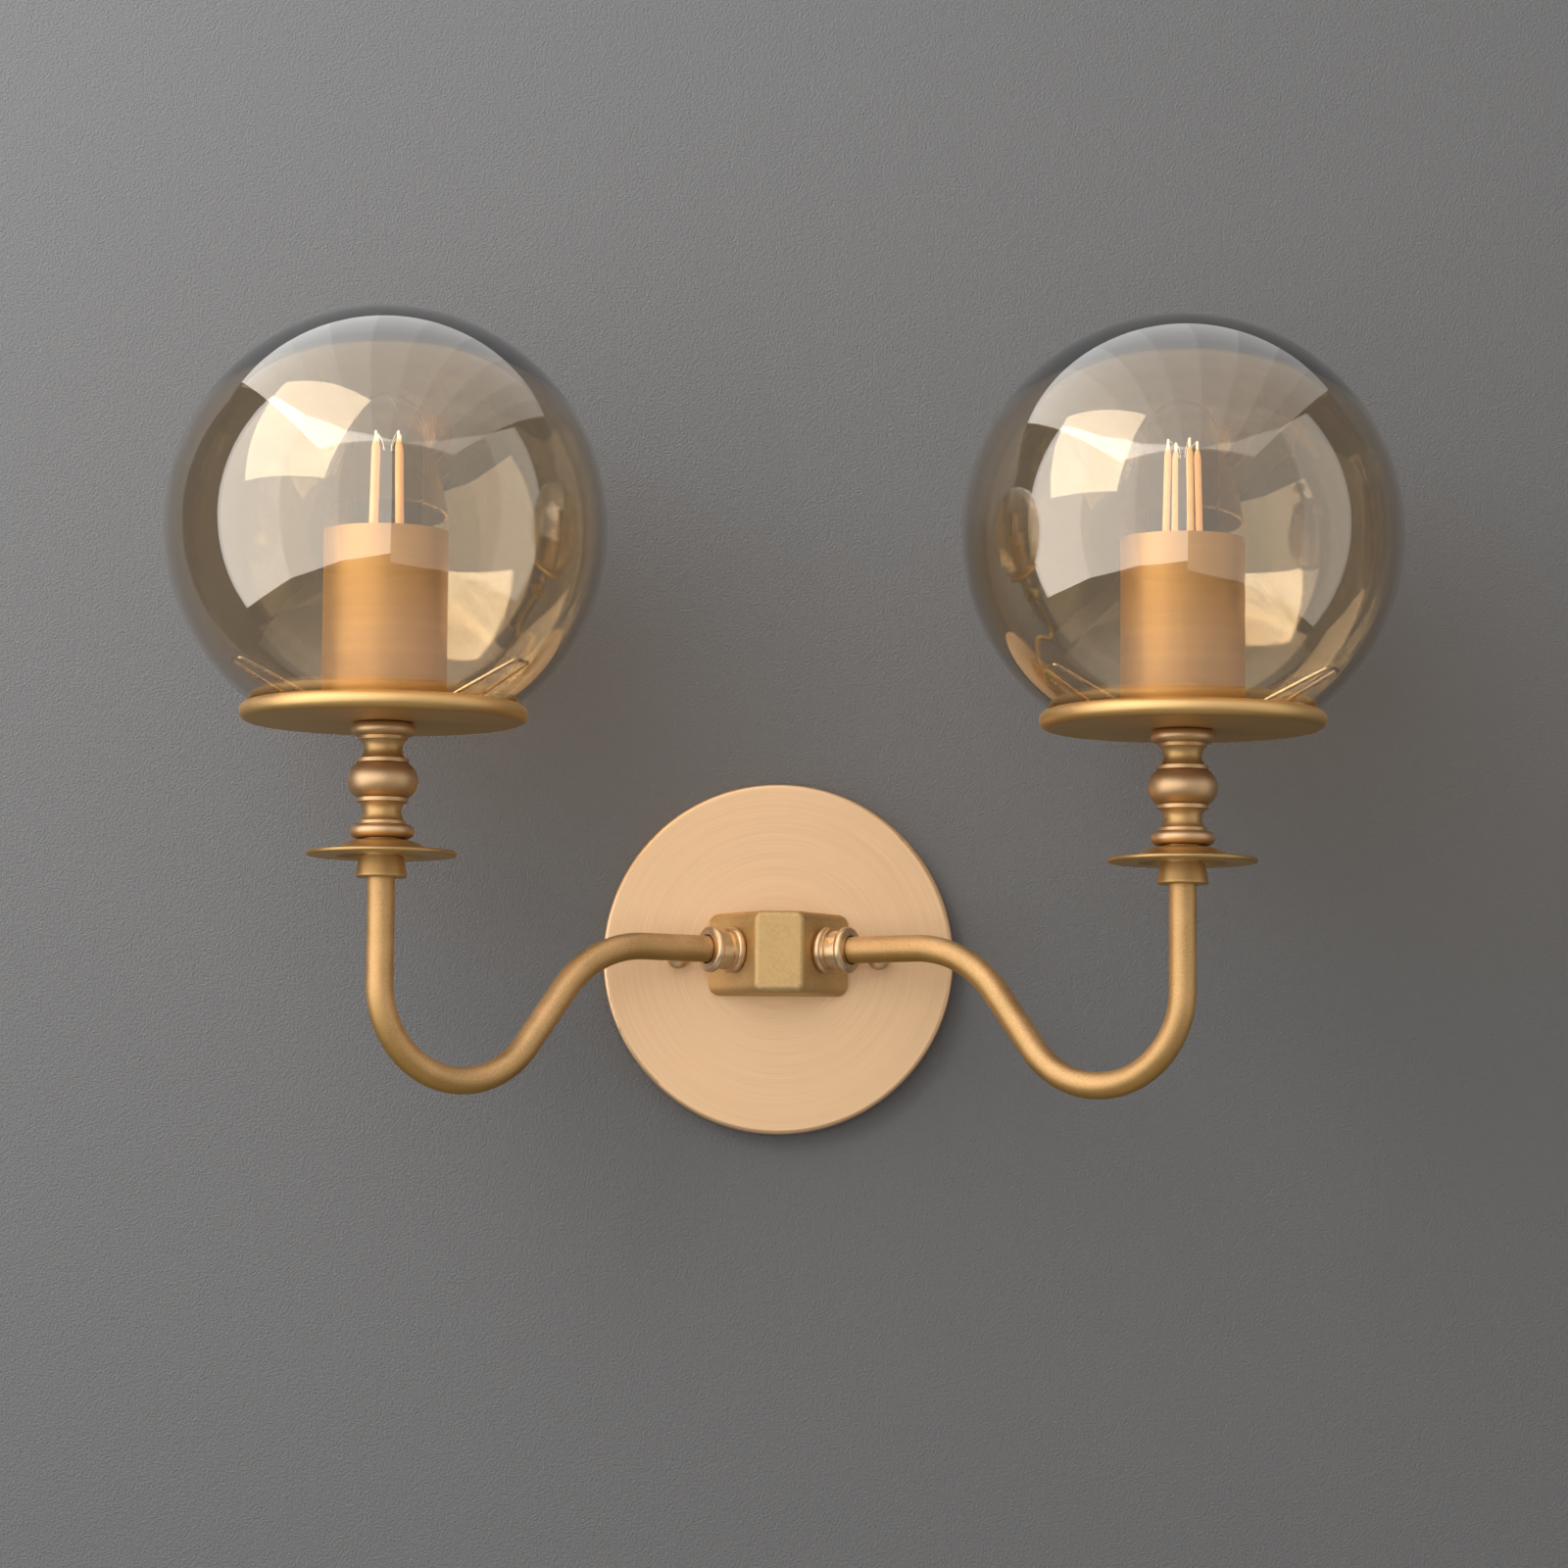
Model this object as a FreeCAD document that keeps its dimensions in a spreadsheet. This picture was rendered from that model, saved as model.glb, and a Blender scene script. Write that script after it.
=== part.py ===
import FreeCAD, Part
import math
import os
import re
import Sketcher

# Double arm wall sconce. Millimetres. The origin is the centre of the backplate on the wall plane.
# +X runs to the right along the wall, +Y into the wall and +Z up.

Vector = FreeCAD.Vector
Rotation = FreeCAD.Rotation
Placement = FreeCAD.Placement

doc = FreeCAD.newDocument("Sconce")

# ---------------------------------------------------------------- driving dimensions

SIZES = {
    # wall side
    "PlateDiameter": 127.0,
    "PlateDepth": 7.0,
    "PlateSheet": 1.5,
    "PlateEdgeRound": 1.6,
    "StudInset": 16.3,
    "StudRadius": 2.05,
    "StudReach": 6.2,
    "StudGap": 0.2,
    "StudNutRadius": 4.2,
    "StudNutHeight": 2.2,
    "BallNutRadius": 4.1,
    "BallNutFoot": 1.0,
    "BallNutFootRadius": 3.1,
    "BallNutEnd": 0.4,
    "ThreadGap": 0.06,
    "CrossbarEnd": 4.55,
    "CrossbarWidth": 20.0,
    "CrossbarThick": 2.0,
    "CrossbarCentreHole": 14.0,
    "BoxScrewSpacing": 88.9,
    "BoxSlotLength": 8.0,
    "BoxSlotWidth": 4.6,
    "GroundScrewPlace": 19.0,
    "GroundScrewRadius": 2.0,
    "GroundHeadRadius": 4.0,
    "GroundHeadHeight": 2.4,
    "GroundHeadRound": 0.5,
    "GroundTipGap": 0.2,
    # cast body
    "ArmLift": 2.0,
    "BodyLift": 1.1,
    "ArmAngle": 33.0,
    "BodyBackWidth": 50.2,
    "BodyBackHeight": 29.5,
    "BodyFrontWidth": 16.8,
    "BodyFrontHeight": 29.1,
    "BodyBase": 3.5,
    "BodyBackRound": 4.0,
    "BodyFrontRound": 3.4,
    "BodyCoreRound": 1.4,
    "BodyWall": 3.4,
    "BodyEdgeRound": 2.2,
    "FaceHoleInset": 9.3,
    # arm collars
    "CollarRingRadius": 8.35,
    "CollarRingHalf": 1.65,
    "CollarNeckRadius": 7.1,
    "CollarLength": 11.9,
    "CollarBeadRadius": 7.9,
    "CollarBeadWidth": 1.2,
    "CollarMouthGap": 0.5,
    # arms
    "LampX": 137.0,
    "TubeRadius": 4.7625,
    "TubeWall": 0.9,
    "TubeFit": 0.06,
    "ArmEntry": 8.0,
    "ArmDip": 49.1,
    "DropAngle": 53.0,
    "DropBend": 41.0,
    "CradleBend": 32.4,
    # hollow threads and leads
    "NippleRadius": 5.0,
    "NippleBore": 3.5,
    "NippleFit": 0.06,
    "NippleEnd": 2.0,
    "NippleStart": 1.0,
    "LockNutRadius": 8.0,
    "LockNutHeight": 2.6,
    "WasherRadius": 8.6,
    "WasherThick": 0.8,
    "LeadRadius": 1.3,
    "LeadBend": 11.0,
    "LeadGap": 0.2,
    "LeadEnd": 1.5,
    "LeadTop": 1.0,
    # stem collar, bobeche and spindle
    "StemFoot": 21.4,
    "StemHeight": 7.3,
    "StemFootRadius": 8.85,
    "StemTopRadius": 7.6,
    "StemEdgeRound": 0.8,
    "StemHubRadius": 6.6,
    "StemTubeDepth": 4.2,
    "StackGap": 0.4,
    "BobecheRadius": 25.75,
    "BobecheSheet": 1.8,
    "BobecheDomeRadius": 16.4,
    "BobecheTopRadius": 7.4,
    "BobecheRise": 5.6,
    "SpindleFootRadius": 6.4,
    "SpindleFoot": 0.5,
    "SpindleRingRadius": 11.15,
    "SpindleRing": 4.8,
    "SpindleFilletRadius": 8.3,
    "SpindleFillet": 1.1,
    "SpindleShoulder": 0.3,
    "SpindleBrow": 0.5,
    "SpindleNeckRadius": 6.6,
    "SpindleNeck": 6.6,
    "SpindleStepRadius": 8.95,
    "SpindleStep": 1.3,
    "SpindleBallRadius": 12.1,
    "SpindleBall": 12.2,
    # globe plate, carrier and clips
    "DishFloor": 1.8,
    "DishRim": 6.4,
    "DishCorner": 1.2,
    "RimGap": 0.4,
    "CarrierThick": 1.5,
    "CarrierRim": 3.0,
    "EarHeight": 4.2,
    "EarLength": 3.6,
    "EarThick": 1.2,
    "EarGap": 0.1,
    "ClipStandoff": 6.1,
    "ClipRise": 26.5,
    "ClipPivotHeight": 2.4,
    "ClipWire": 1.2,
    "ClipFootHalf": 8.0,
    "ClipTipHalf": 4.1,
    "ClipBendRadius": 1.4,
    "ClipFootTurn": 97.5,
    "ClipToe": 0.5,
    "ClipGap": 0.3,
    "ClipEarGap": 0.07,
    # socket and cup
    "CupHeight": 62.6,
    "CupWall": 1.0,
    "CupCornerRound": 2.0,
    "CupGap": 3.4,
    "SocketNutHeight": 2.8,
    "SocketNutRadius": 8.0,
    "SocketFloor": 9.0,
    "SocketHeight": 39.0,
    "SocketWall": 3.0,
    "SocketEdge": 1.0,
    "SocketBlind": 2.0,
    "ShellSeat": 0.1,
    "ShellWall": 0.6,
    "ShellHeight": 27.0,
    "ContactRise": 1.6,
    "ContactRadius": 4.0,
    "ContactSheet": 0.4,
    "ContactStalk": 1.6,
    "ContactGap": 0.3,
    # bulb
    "CapRadius": 13.1,
    "CapClearance": 0.3,
    "CapHeight": 25.0,
    "CapSheet": 0.5,
    "CapNeckRadius": 9.0,
    "BulbContactRadius": 4.6,
    "BulbContactHeight": 1.0,
    "BulbContactRound": 0.6,
    "InsulatorEdge": 0.4,
    "InsulatorHeight": 2.6,
    "BulbRadius": 12.5,
    "BulbHeight": 71.0,
    "BulbGlass": 0.8,
    "BulbSink": 3.0,
    "StemGlassRadius": 1.6,
    "StemSeat": 0.3,
    "StemGlassHeight": 52.0,
    "FilamentCircle": 6.0,
    "FilamentLength": 38.0,
    "FilamentRadius": 1.25,
    "FilamentTip": 2.0,
    "FilamentSeat": 0.1,
    "FilamentFoot": 19.0,
    "FilamentLean": 1.0,
    "FilamentWire": 0.35,
    # globe
    "GlobeRadius": 76.2,
    "GlobeWall": 2.2,
    "MouthClearance": 3.7,
    "GlobeSeat": 0.1,
}

sheet = doc.addObject("Spreadsheet::Sheet", "Sizes")
for row, (alias, value) in enumerate(SIZES.items(), start=1):
    sheet.set("A%d" % row, alias)
    sheet.set("B%d" % row, str(value))
    sheet.setAlias("B%d" % row, alias)
doc.recompute()


def bound(text):
    """Expression on the sheet, from one that names its cells by their aliases alone."""
    return re.sub(r"\b[A-Z][A-Za-z]+", lambda word: "Sizes." + word.group(0), text)


def size(text):
    return float(sheet.evalExpression(text))


# ---------------------------------------------------------------- places that follow from the sizes

# The arm leaves the angled face of the cast body square to it, so the body's depth follows its angle.
BODY_DEPTH = "(BodyBase + (BodyBackWidth - BodyFrontWidth) / 2 / tan(ArmAngle))"
FACE_X = "(BodyBackWidth / 2 - FaceHoleInset)"
FACE_Y = "(PlateDepth + BodyBase + FaceHoleInset / tan(ArmAngle))"
ARM_RUN = "((LampX - %s) / cos(ArmAngle))" % FACE_X
LAMP_Y = "(%s + (LampX - %s) * tan(ArmAngle))" % (FACE_Y, FACE_X)

# One arm in its own vertical plane: level run, drop bend, slant, cradle bend, upright.
BENDS = "(DropBend + CradleBend)"
SLANT = "((ArmDip - %s * (1 - cos(DropAngle))) / sin(DropAngle))" % BENDS
LEVEL = "(%s - %s * sin(DropAngle) - CradleBend - %s * cos(DropAngle))" % (ARM_RUN, BENDS, SLANT)
TUBE_TOP = "(StemFoot + StemTubeDepth)"

# The strap runs a little past the slots for the box screws, and its studs stand just inside them.
STUD_X = "((BoxScrewSpacing - StudInset) / 2)"
STRAP_LENGTH = "(BoxScrewSpacing + BoxSlotLength + 2 * CrossbarEnd)"

# Heights of the lamp stack, from the foot of the stem collar up.
BOBECHE_Z = "(StemFoot + StemHeight)"
SPINDLE_Z = "(%s + BobecheRise)" % BOBECHE_Z
SPINDLE_HEIGHT = ("(SpindleFoot + 2 * SpindleRing + 2 * SpindleFillet + 2 * SpindleNeck"
                  " + 2 * SpindleStep + SpindleBall)")
DISH_Z = "(%s + %s)" % (SPINDLE_Z, SPINDLE_HEIGHT)
FLOOR_Z = "(%s + DishFloor)" % DISH_Z
CUP_Z = "(%s + CarrierThick)" % FLOOR_Z
CUP_FLOOR_Z = "(%s + CupWall)" % CUP_Z
SOCKET_Z = "(%s + SocketNutHeight)" % CUP_FLOOR_Z
BULB_Z = "(%s + SocketFloor + ContactRise + ContactGap)" % SOCKET_Z
CAP_Z = "(%s + BulbContactHeight + InsulatorHeight)" % BULB_Z
GLASS_Z = "(%s + CapHeight - BulbSink)" % CAP_Z

# Rings from the bulb's cap out to the socket cup, then the clips, the carrier and the globe's mouth.
SHELL_RADIUS = "(CapRadius + CapClearance + ShellWall)"
SOCKET_RADIUS = "(%s + SocketWall)" % SHELL_RADIUS
CUP_RADIUS = "(%s + CupGap + CupWall)" % SOCKET_RADIUS
PIVOT_RADIUS = "(%s + ClipStandoff)" % CUP_RADIUS
CARRIER_RADIUS = "(%s + CarrierRim)" % PIVOT_RADIUS
MOUTH_INNER = "(%s + MouthClearance)" % CARRIER_RADIUS
GLOBE_INNER = "(GlobeRadius - GlobeWall)"
MOUTH_DROP = "sqrt(%s ^ 2 - %s ^ 2)" % (GLOBE_INNER, MOUTH_INNER)
MOUTH_OUTER = "sqrt(GlobeRadius ^ 2 - (%s) ^ 2)" % MOUTH_DROP
GLOBE_Z = "(%s + GlobeSeat + %s)" % (FLOOR_Z, MOUTH_DROP)

# The dish wall stands clear of the globe where the globe passes the top of the rim.
RIM_DROP = "(%s - %s - DishRim)" % (GLOBE_Z, DISH_Z)
DISH_INNER = "(sqrt((GlobeRadius + RimGap) ^ 2 - %s ^ 2))" % RIM_DROP

NIPPLE_HOLE = "(NippleRadius + NippleFit)"
NIPPLE_TOP = "(%s + SocketFloor - SocketBlind - StackGap)" % SOCKET_Z

SIDES = {"left": -1, "right": 1}
parts = []


# ---------------------------------------------------------------- helpers for sketches and bodies

def newPiece(name):
    body = doc.addObject("PartDesign::Body", name)
    body.Label = name
    return body


def newBody(name):
    body = newPiece(name)
    parts.append(body)
    return body


def originPlane(body, role):
    return [item for item in body.Origin.OriginFeatures if item.Role == role][0]


def newSketch(body, name, role="XZ_Plane", lift=None):
    sketch = body.newObject("Sketcher::SketchObject", name)
    sketch.AttachmentSupport = [(originPlane(body, role), "")]
    sketch.MapMode = "FlatFace"
    if lift:
        sketch.setExpression("AttachmentOffset.Base.z", bound(lift))
    return sketch


def bindDistance(sketch, kind, geometry, point, text):
    """Hold one coordinate of a point to an expression, counted from the sketch's origin."""
    value = size(text)
    if abs(value) < 1e-7:
        axis = -2 if kind == "DistanceX" else -1
        sketch.addConstraint(Sketcher.Constraint("PointOnObject", geometry, point, axis))
        return
    index = sketch.addConstraint(Sketcher.Constraint(kind, -1, 1, geometry, point, value))
    sketch.setExpression("Constraints[%d]" % index, bound(text))


def arc(end, centre, clockwise=False):
    return {"end": end, "centre": centre, "clockwise": clockwise}


def draw(sketch, start, steps, closed=True):
    """Lines and arcs through points given as expressions, each point and centre held to them."""
    first = sketch.GeometryCount
    here = start
    for step in steps:
        bend = isinstance(step, dict)
        end = step["end"] if bend else step
        here_at = Vector(size(here[0]), size(here[1]), 0)
        end_at = Vector(size(end[0]), size(end[1]), 0)
        if bend:
            centre = Vector(size(step["centre"][0]), size(step["centre"][1]), 0)
            sketch.addGeometry(roundEdge(here_at, end_at, centre, step["clockwise"]))
        else:
            sketch.addGeometry(Part.LineSegment(here_at, end_at))
        here = end
    tips = []
    for offset, step in enumerate(steps):
        clockwise = isinstance(step, dict) and step["clockwise"]
        tips.append((2, 1) if clockwise else (1, 2))
    here = start
    for offset, step in enumerate(steps):
        index = first + offset
        bindDistance(sketch, "DistanceX", index, tips[offset][0], here[0])
        bindDistance(sketch, "DistanceY", index, tips[offset][0], here[1])
        following = offset + 1
        if following == len(steps):
            following = 0
        if following or closed:
            sketch.addConstraint(Sketcher.Constraint(
                "Coincident", index, tips[offset][1], first + following, tips[following][0]))
        end = step["end"] if isinstance(step, dict) else step
        if isinstance(step, dict):
            bindCentre(sketch, index, here, end, step["centre"])
        here = end
    if not closed:
        bindDistance(sketch, "DistanceX", index, tips[-1][1], here[0])
        bindDistance(sketch, "DistanceY", index, tips[-1][1], here[1])


def roundEdge(start, end, centre, clockwise):
    radius = (start - centre).Length
    first = math.atan2(start.y - centre.y, start.x - centre.x)
    last = math.atan2(end.y - centre.y, end.x - centre.x)
    if clockwise:
        first, last = last, first
    if last <= first:
        last += 2 * math.pi
    return Part.ArcOfCircle(Part.Circle(centre, Vector(0, 0, 1), radius), first, last)


def bindCentre(sketch, index, start, end, centre):
    """An arc's centre has one free coordinate once its ends are held."""
    across = abs(size(end[0]) - size(start[0]))
    along = abs(size(end[1]) - size(start[1]))
    if along > across:
        bindDistance(sketch, "DistanceX", index, 3, centre[0])
    else:
        bindDistance(sketch, "DistanceY", index, 3, centre[1])


def revolve(body, name, start, steps):
    sketch = newSketch(body, name + "Outline")
    draw(sketch, start, steps)
    turn = body.newObject("PartDesign::Revolution", name)
    turn.Profile = sketch
    turn.ReferenceAxis = (sketch, ["V_Axis"])
    turn.Angle = 360
    return turn


def turned(name, start, steps):
    """A piece turned or spun about its own Z axis, from its half outline."""
    body = newBody(name)
    revolve(body, "Turning", start, steps)
    return body


def place(body, x, y, z, rotation=Rotation()):
    body.Placement = Placement(Vector(size(x), size(y), size(z)), rotation)
    body.setExpression("Placement.Base.x", bound(x))
    body.setExpression("Placement.Base.y", bound(y))
    body.setExpression("Placement.Base.z", bound(z))


def placeOnLamp(body, side, z, rotation=Rotation()):
    place(body, "%d * LampX" % SIDES[side], "-1 * " + LAMP_Y, z, rotation)


# A piece turned about Z and laid with its foot to the wall looks out along -Y.
OUT_OF_WALL = Rotation(Vector(1, 0, 0), 90)


def armHeading(side):
    """Turns local X along the arm, from the cast body out to the lamp."""
    angle = size("ArmAngle")
    return Rotation(Vector(0, 0, 1), -angle if side == "right" else 180 + angle)


def cutCylinder(body, name, radius, height, centre, direction):
    """A round hole whose axis starts at centre, given as expressions."""
    hole = body.newObject("PartDesign::SubtractiveCylinder", name)
    hole.setExpression("Radius", bound(radius))
    hole.setExpression("Height", bound(height))
    start = Vector(*[size(text) for text in centre])
    hole.Placement = Placement(start, Rotation(Vector(0, 0, 1), direction))
    for axis, text in zip("xyz", centre):
        hole.setExpression("Placement.Base." + axis, bound(text))
    return hole


def addCylinder(body, name, radius, height, centre, direction=Vector(0, 0, 1)):
    post = body.newObject("PartDesign::AdditiveCylinder", name)
    post.setExpression("Radius", bound(radius))
    post.setExpression("Height", bound(height))
    start = Vector(*[size(text) for text in centre])
    post.Placement = Placement(start, Rotation(Vector(0, 0, 1), direction))
    for axis, text in zip("xyz", centre):
        post.setExpression("Placement.Base." + axis, bound(text))
    return post


def hexagon(sketch, corner):
    """A hexagon about the origin, its corners held to expressions."""
    points = []
    for number in range(6):
        angle = 60 * number
        points.append(("%s * cos(%d)" % (corner, angle), "%s * sin(%d)" % (corner, angle)))
    draw(sketch, points[0], points[1:] + points[:1])


def hexNut(name, corner, height, hole, alone=True):
    body = newBody(name) if alone else newPiece(name)
    sketch = newSketch(body, "HexOutline", "XY_Plane")
    hexagon(sketch, corner)
    pad = body.newObject("PartDesign::Pad", "Hex")
    pad.Profile = sketch
    pad.setExpression("Length", bound(height))
    cutCylinder(body, "ThreadHole", hole, "2 * " + height, ("0", "0", "-0.5 * " + height), Vector(0, 0, 1))
    return body


def circle(sketch, x, y, radius):
    centre = Vector(size(x), size(y), 0)
    index = sketch.addGeometry(Part.Circle(centre, Vector(0, 0, 1), size(radius)))
    bindDistance(sketch, "DistanceX", index, 3, x)
    bindDistance(sketch, "DistanceY", index, 3, y)
    number = sketch.addConstraint(Sketcher.Constraint("Radius", index, size(radius)))
    sketch.setExpression("Constraints[%d]" % number, bound(radius))


def rectangle(sketch, width, height):
    half_x = "(%s) / 2" % width
    half_y = "(%s) / 2" % height
    draw(sketch, ("-1 * " + half_x, "-1 * " + half_y), [
        (half_x, "-1 * " + half_y),
        (half_x, half_y),
        ("-1 * " + half_x, half_y),
        ("-1 * " + half_x, "-1 * " + half_y),
    ])


def roundedRectangle(sketch, width, height, radius):
    """A rectangle about the origin with its four corners rounded."""
    out_x = "((%s) / 2)" % width
    out_y = "((%s) / 2)" % height
    in_x = "(%s - %s)" % (out_x, radius)
    in_y = "(%s - %s)" % (out_y, radius)
    steps = []
    for sign_x, sign_y in ((1, -1), (1, 1), (-1, 1), (-1, -1)):
        on_side = ("%d * %s" % (sign_x, out_x), "%d * %s" % (sign_y, in_y))
        on_end = ("%d * %s" % (sign_x, in_x), "%d * %s" % (sign_y, out_y))
        centre = ("%d * %s" % (sign_x, in_x), "%d * %s" % (sign_y, in_y))
        first, last = (on_end, on_side) if sign_x != sign_y else (on_side, on_end)
        steps.append(first)
        steps.append(arc(last, centre))
    draw(sketch, steps[-1]["end"], steps)


def slot(sketch, x, length, width):
    """A slot along X with round ends, centred on (x, 0)."""
    half = "((%s - %s) / 2)" % (length, width)
    left = "(%s - %s)" % (x, half)
    right = "(%s + %s)" % (x, half)
    top = "(%s / 2)" % width
    bottom = "-1 * " + top
    draw(sketch, (left, bottom), [
        (right, bottom),
        arc((right, top), (right, "0")),
        (left, top),
        arc((left, bottom), (left, "0")),
    ])


def group(name, pieces):
    """Separate solids of one kind that share a sub-part."""
    bundle = doc.addObject("Part::Compound", name)
    bundle.Label = name
    bundle.Links = pieces
    parts.append(bundle)


def wireRoute(points):
    """Centre line of straight runs; each point gives the radius of the bend at its corner."""
    edges = []
    here = points[0][0]
    for (before, _), (corner, bend), (after, _) in zip(points, points[1:], points[2:]):
        arriving = (corner - before).normalize()
        leaving = (after - corner).normalize()
        turn = arriving.getAngle(leaving)
        cut = bend * math.tan(turn / 2)
        start = corner - arriving * cut
        end = corner + leaving * cut
        middle = (leaving - arriving).normalize()
        centre = corner + middle * (bend / math.cos(turn / 2))
        halfway = centre - middle * bend
        if (start - here).Length > 1e-4:
            edges.append(Part.LineSegment(here, start).toShape())
        edges.append(Part.Arc(start, halfway, end).toShape())
        here = end
    edges.append(Part.LineSegment(here, points[-1][0]).toShape())
    return Part.Wire(edges)


def wireShape(points, radius):
    """Round wire along its centre line."""
    route = wireRoute(points)
    heading = points[1][0] - points[0][0]
    section = Part.Wire(Part.Circle(points[0][0], heading, radius).toShape())
    return route.makePipeShell([section], True, True)


# ---------------------------------------------------------------- wall side

def makeBackplate():
    """A spun pan: flat face, rounded edge, and a rim that meets the wall."""
    edge = "PlateDiameter / 2"
    inner = "(PlateDiameter / 2 - PlateSheet)"
    shoulder = "(PlateDiameter / 2 - PlateEdgeRound)"
    body = turned("backplate", (edge, "0"), [
        (edge, "PlateDepth - PlateEdgeRound"),
        arc((shoulder, "PlateDepth"), (shoulder, "PlateDepth - PlateEdgeRound")),
        ("0", "PlateDepth"),
        ("0", "PlateDepth - PlateSheet"),
        (inner, "PlateDepth - PlateSheet"),
        (inner, "0"),
        (edge, "0"),
    ])
    out = Vector(0, 0, 1)
    cutCylinder(body, "CentreHole", NIPPLE_HOLE, "PlateDepth", ("0", "BodyLift", "0"), out)
    for side, sign in SIDES.items():
        centre = ("%d * %s" % (sign, STUD_X), "0", "0")
        cutCylinder(body, side + "StudHole", "StudRadius + StudGap", "PlateDepth", centre, out)
    place(body, "0", "0", "0", OUT_OF_WALL)


def makeCrossbar():
    """Flat strap with a slot for each junction box screw."""
    body = newBody("crossbar")
    sketch = newSketch(body, "StrapOutline")
    rectangle(sketch, STRAP_LENGTH, "CrossbarWidth")
    circle(sketch, "0", "0", "CrossbarCentreHole / 2")
    circle(sketch, "-1 * GroundScrewPlace", "0", "GroundScrewRadius + ThreadGap")
    for sign in SIDES.values():
        circle(sketch, "%d * %s" % (sign, STUD_X), "0", "StudRadius + ThreadGap")
        slot(sketch, "%d * BoxScrewSpacing / 2" % sign, "BoxSlotLength", "BoxSlotWidth")
    strap = body.newObject("PartDesign::Pad", "Strap")
    strap.Profile = sketch
    strap.setExpression("Length", bound("CrossbarThick"))
    place(body, "0", "0", "0")


def makeStuds():
    """Threaded rods from the back of the strap out into the ball nuts."""
    studs = []
    for side, sign in SIDES.items():
        stud = doc.addObject("Part::Cylinder", side + "Stud")
        stud.setExpression("Radius", bound("StudRadius"))
        stud.setExpression("Height", bound("PlateDepth + StudReach"))
        place(stud, "%d * %s" % (sign, STUD_X), "0", "0", OUT_OF_WALL)
        studs.append(stud)
    group("crossbar_studs", studs)


def makeStudNuts():
    nuts = []
    hole = "StudRadius + ThreadGap"
    for side, sign in SIDES.items():
        nut = hexNut(side + "StudNut", "StudNutRadius", "StudNutHeight", hole, alone=False)
        place(nut, "%d * %s" % (sign, STUD_X), "-1 * CrossbarThick", "0", OUT_OF_WALL)
        nuts.append(nut)
    group("stud_nuts", nuts)


def makeBallNut(side):
    """A ball on a small foot, with a blind thread."""
    foot = "BallNutFootRadius"
    centre = "(BallNutFoot + sqrt(BallNutRadius ^ 2 - BallNutFootRadius ^ 2))"
    hole = "(StudRadius + ThreadGap)"
    depth = "(StudReach + BallNutEnd)"
    body = turned(side + "_ball_nut", (hole, "0"), [
        (foot, "0"),
        (foot, "BallNutFoot"),
        arc(("0", centre + " + BallNutRadius"), ("0", centre)),
        ("0", depth),
        (hole, depth),
        (hole, "0"),
    ])
    place(body, "%d * %s" % (SIDES[side], STUD_X), "-1 * PlateDepth", "0", OUT_OF_WALL)


def makeGroundScrew():
    head = "(CrossbarThick + GroundHeadHeight)"
    body = turned("ground_screw", ("0", "GroundTipGap"), [
        ("GroundScrewRadius", "GroundTipGap"),
        ("GroundScrewRadius", "CrossbarThick"),
        ("GroundHeadRadius", "CrossbarThick"),
        ("GroundHeadRadius", head + " - GroundHeadRound"),
        ("GroundHeadRadius - GroundHeadRound", head),
        ("0", head),
        ("0", "GroundTipGap"),
    ])
    place(body, "-1 * GroundScrewPlace", "0", "0", OUT_OF_WALL)


def ring(name, inner, outer, height):
    return turned(name, (inner, "0"), [(outer, "0"), (outer, height), (inner, height), (inner, "0")])


def makeBodyNipple():
    """Hollow thread that draws the cast body onto the backplate, with its washer and nut."""
    length = "PlateDepth + BodyWall + NippleEnd - NippleStart"
    nipple = ring("body_nipple", "NippleBore", "NippleRadius", length)
    place(nipple, "0", "-1 * NippleStart", "BodyLift", OUT_OF_WALL)
    back = "(PlateDepth - PlateSheet)"
    washer = ring("nipple_washer", NIPPLE_HOLE, "WasherRadius", "WasherThick")
    place(washer, "0", "-1 * (%s - WasherThick)" % back, "BodyLift", OUT_OF_WALL)
    nut = hexNut("nipple_nut", "LockNutRadius", "LockNutHeight", NIPPLE_HOLE)
    place(nut, "0", "-1 * (%s - WasherThick - LockNutHeight)" % back, "BodyLift", OUT_OF_WALL)


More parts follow.
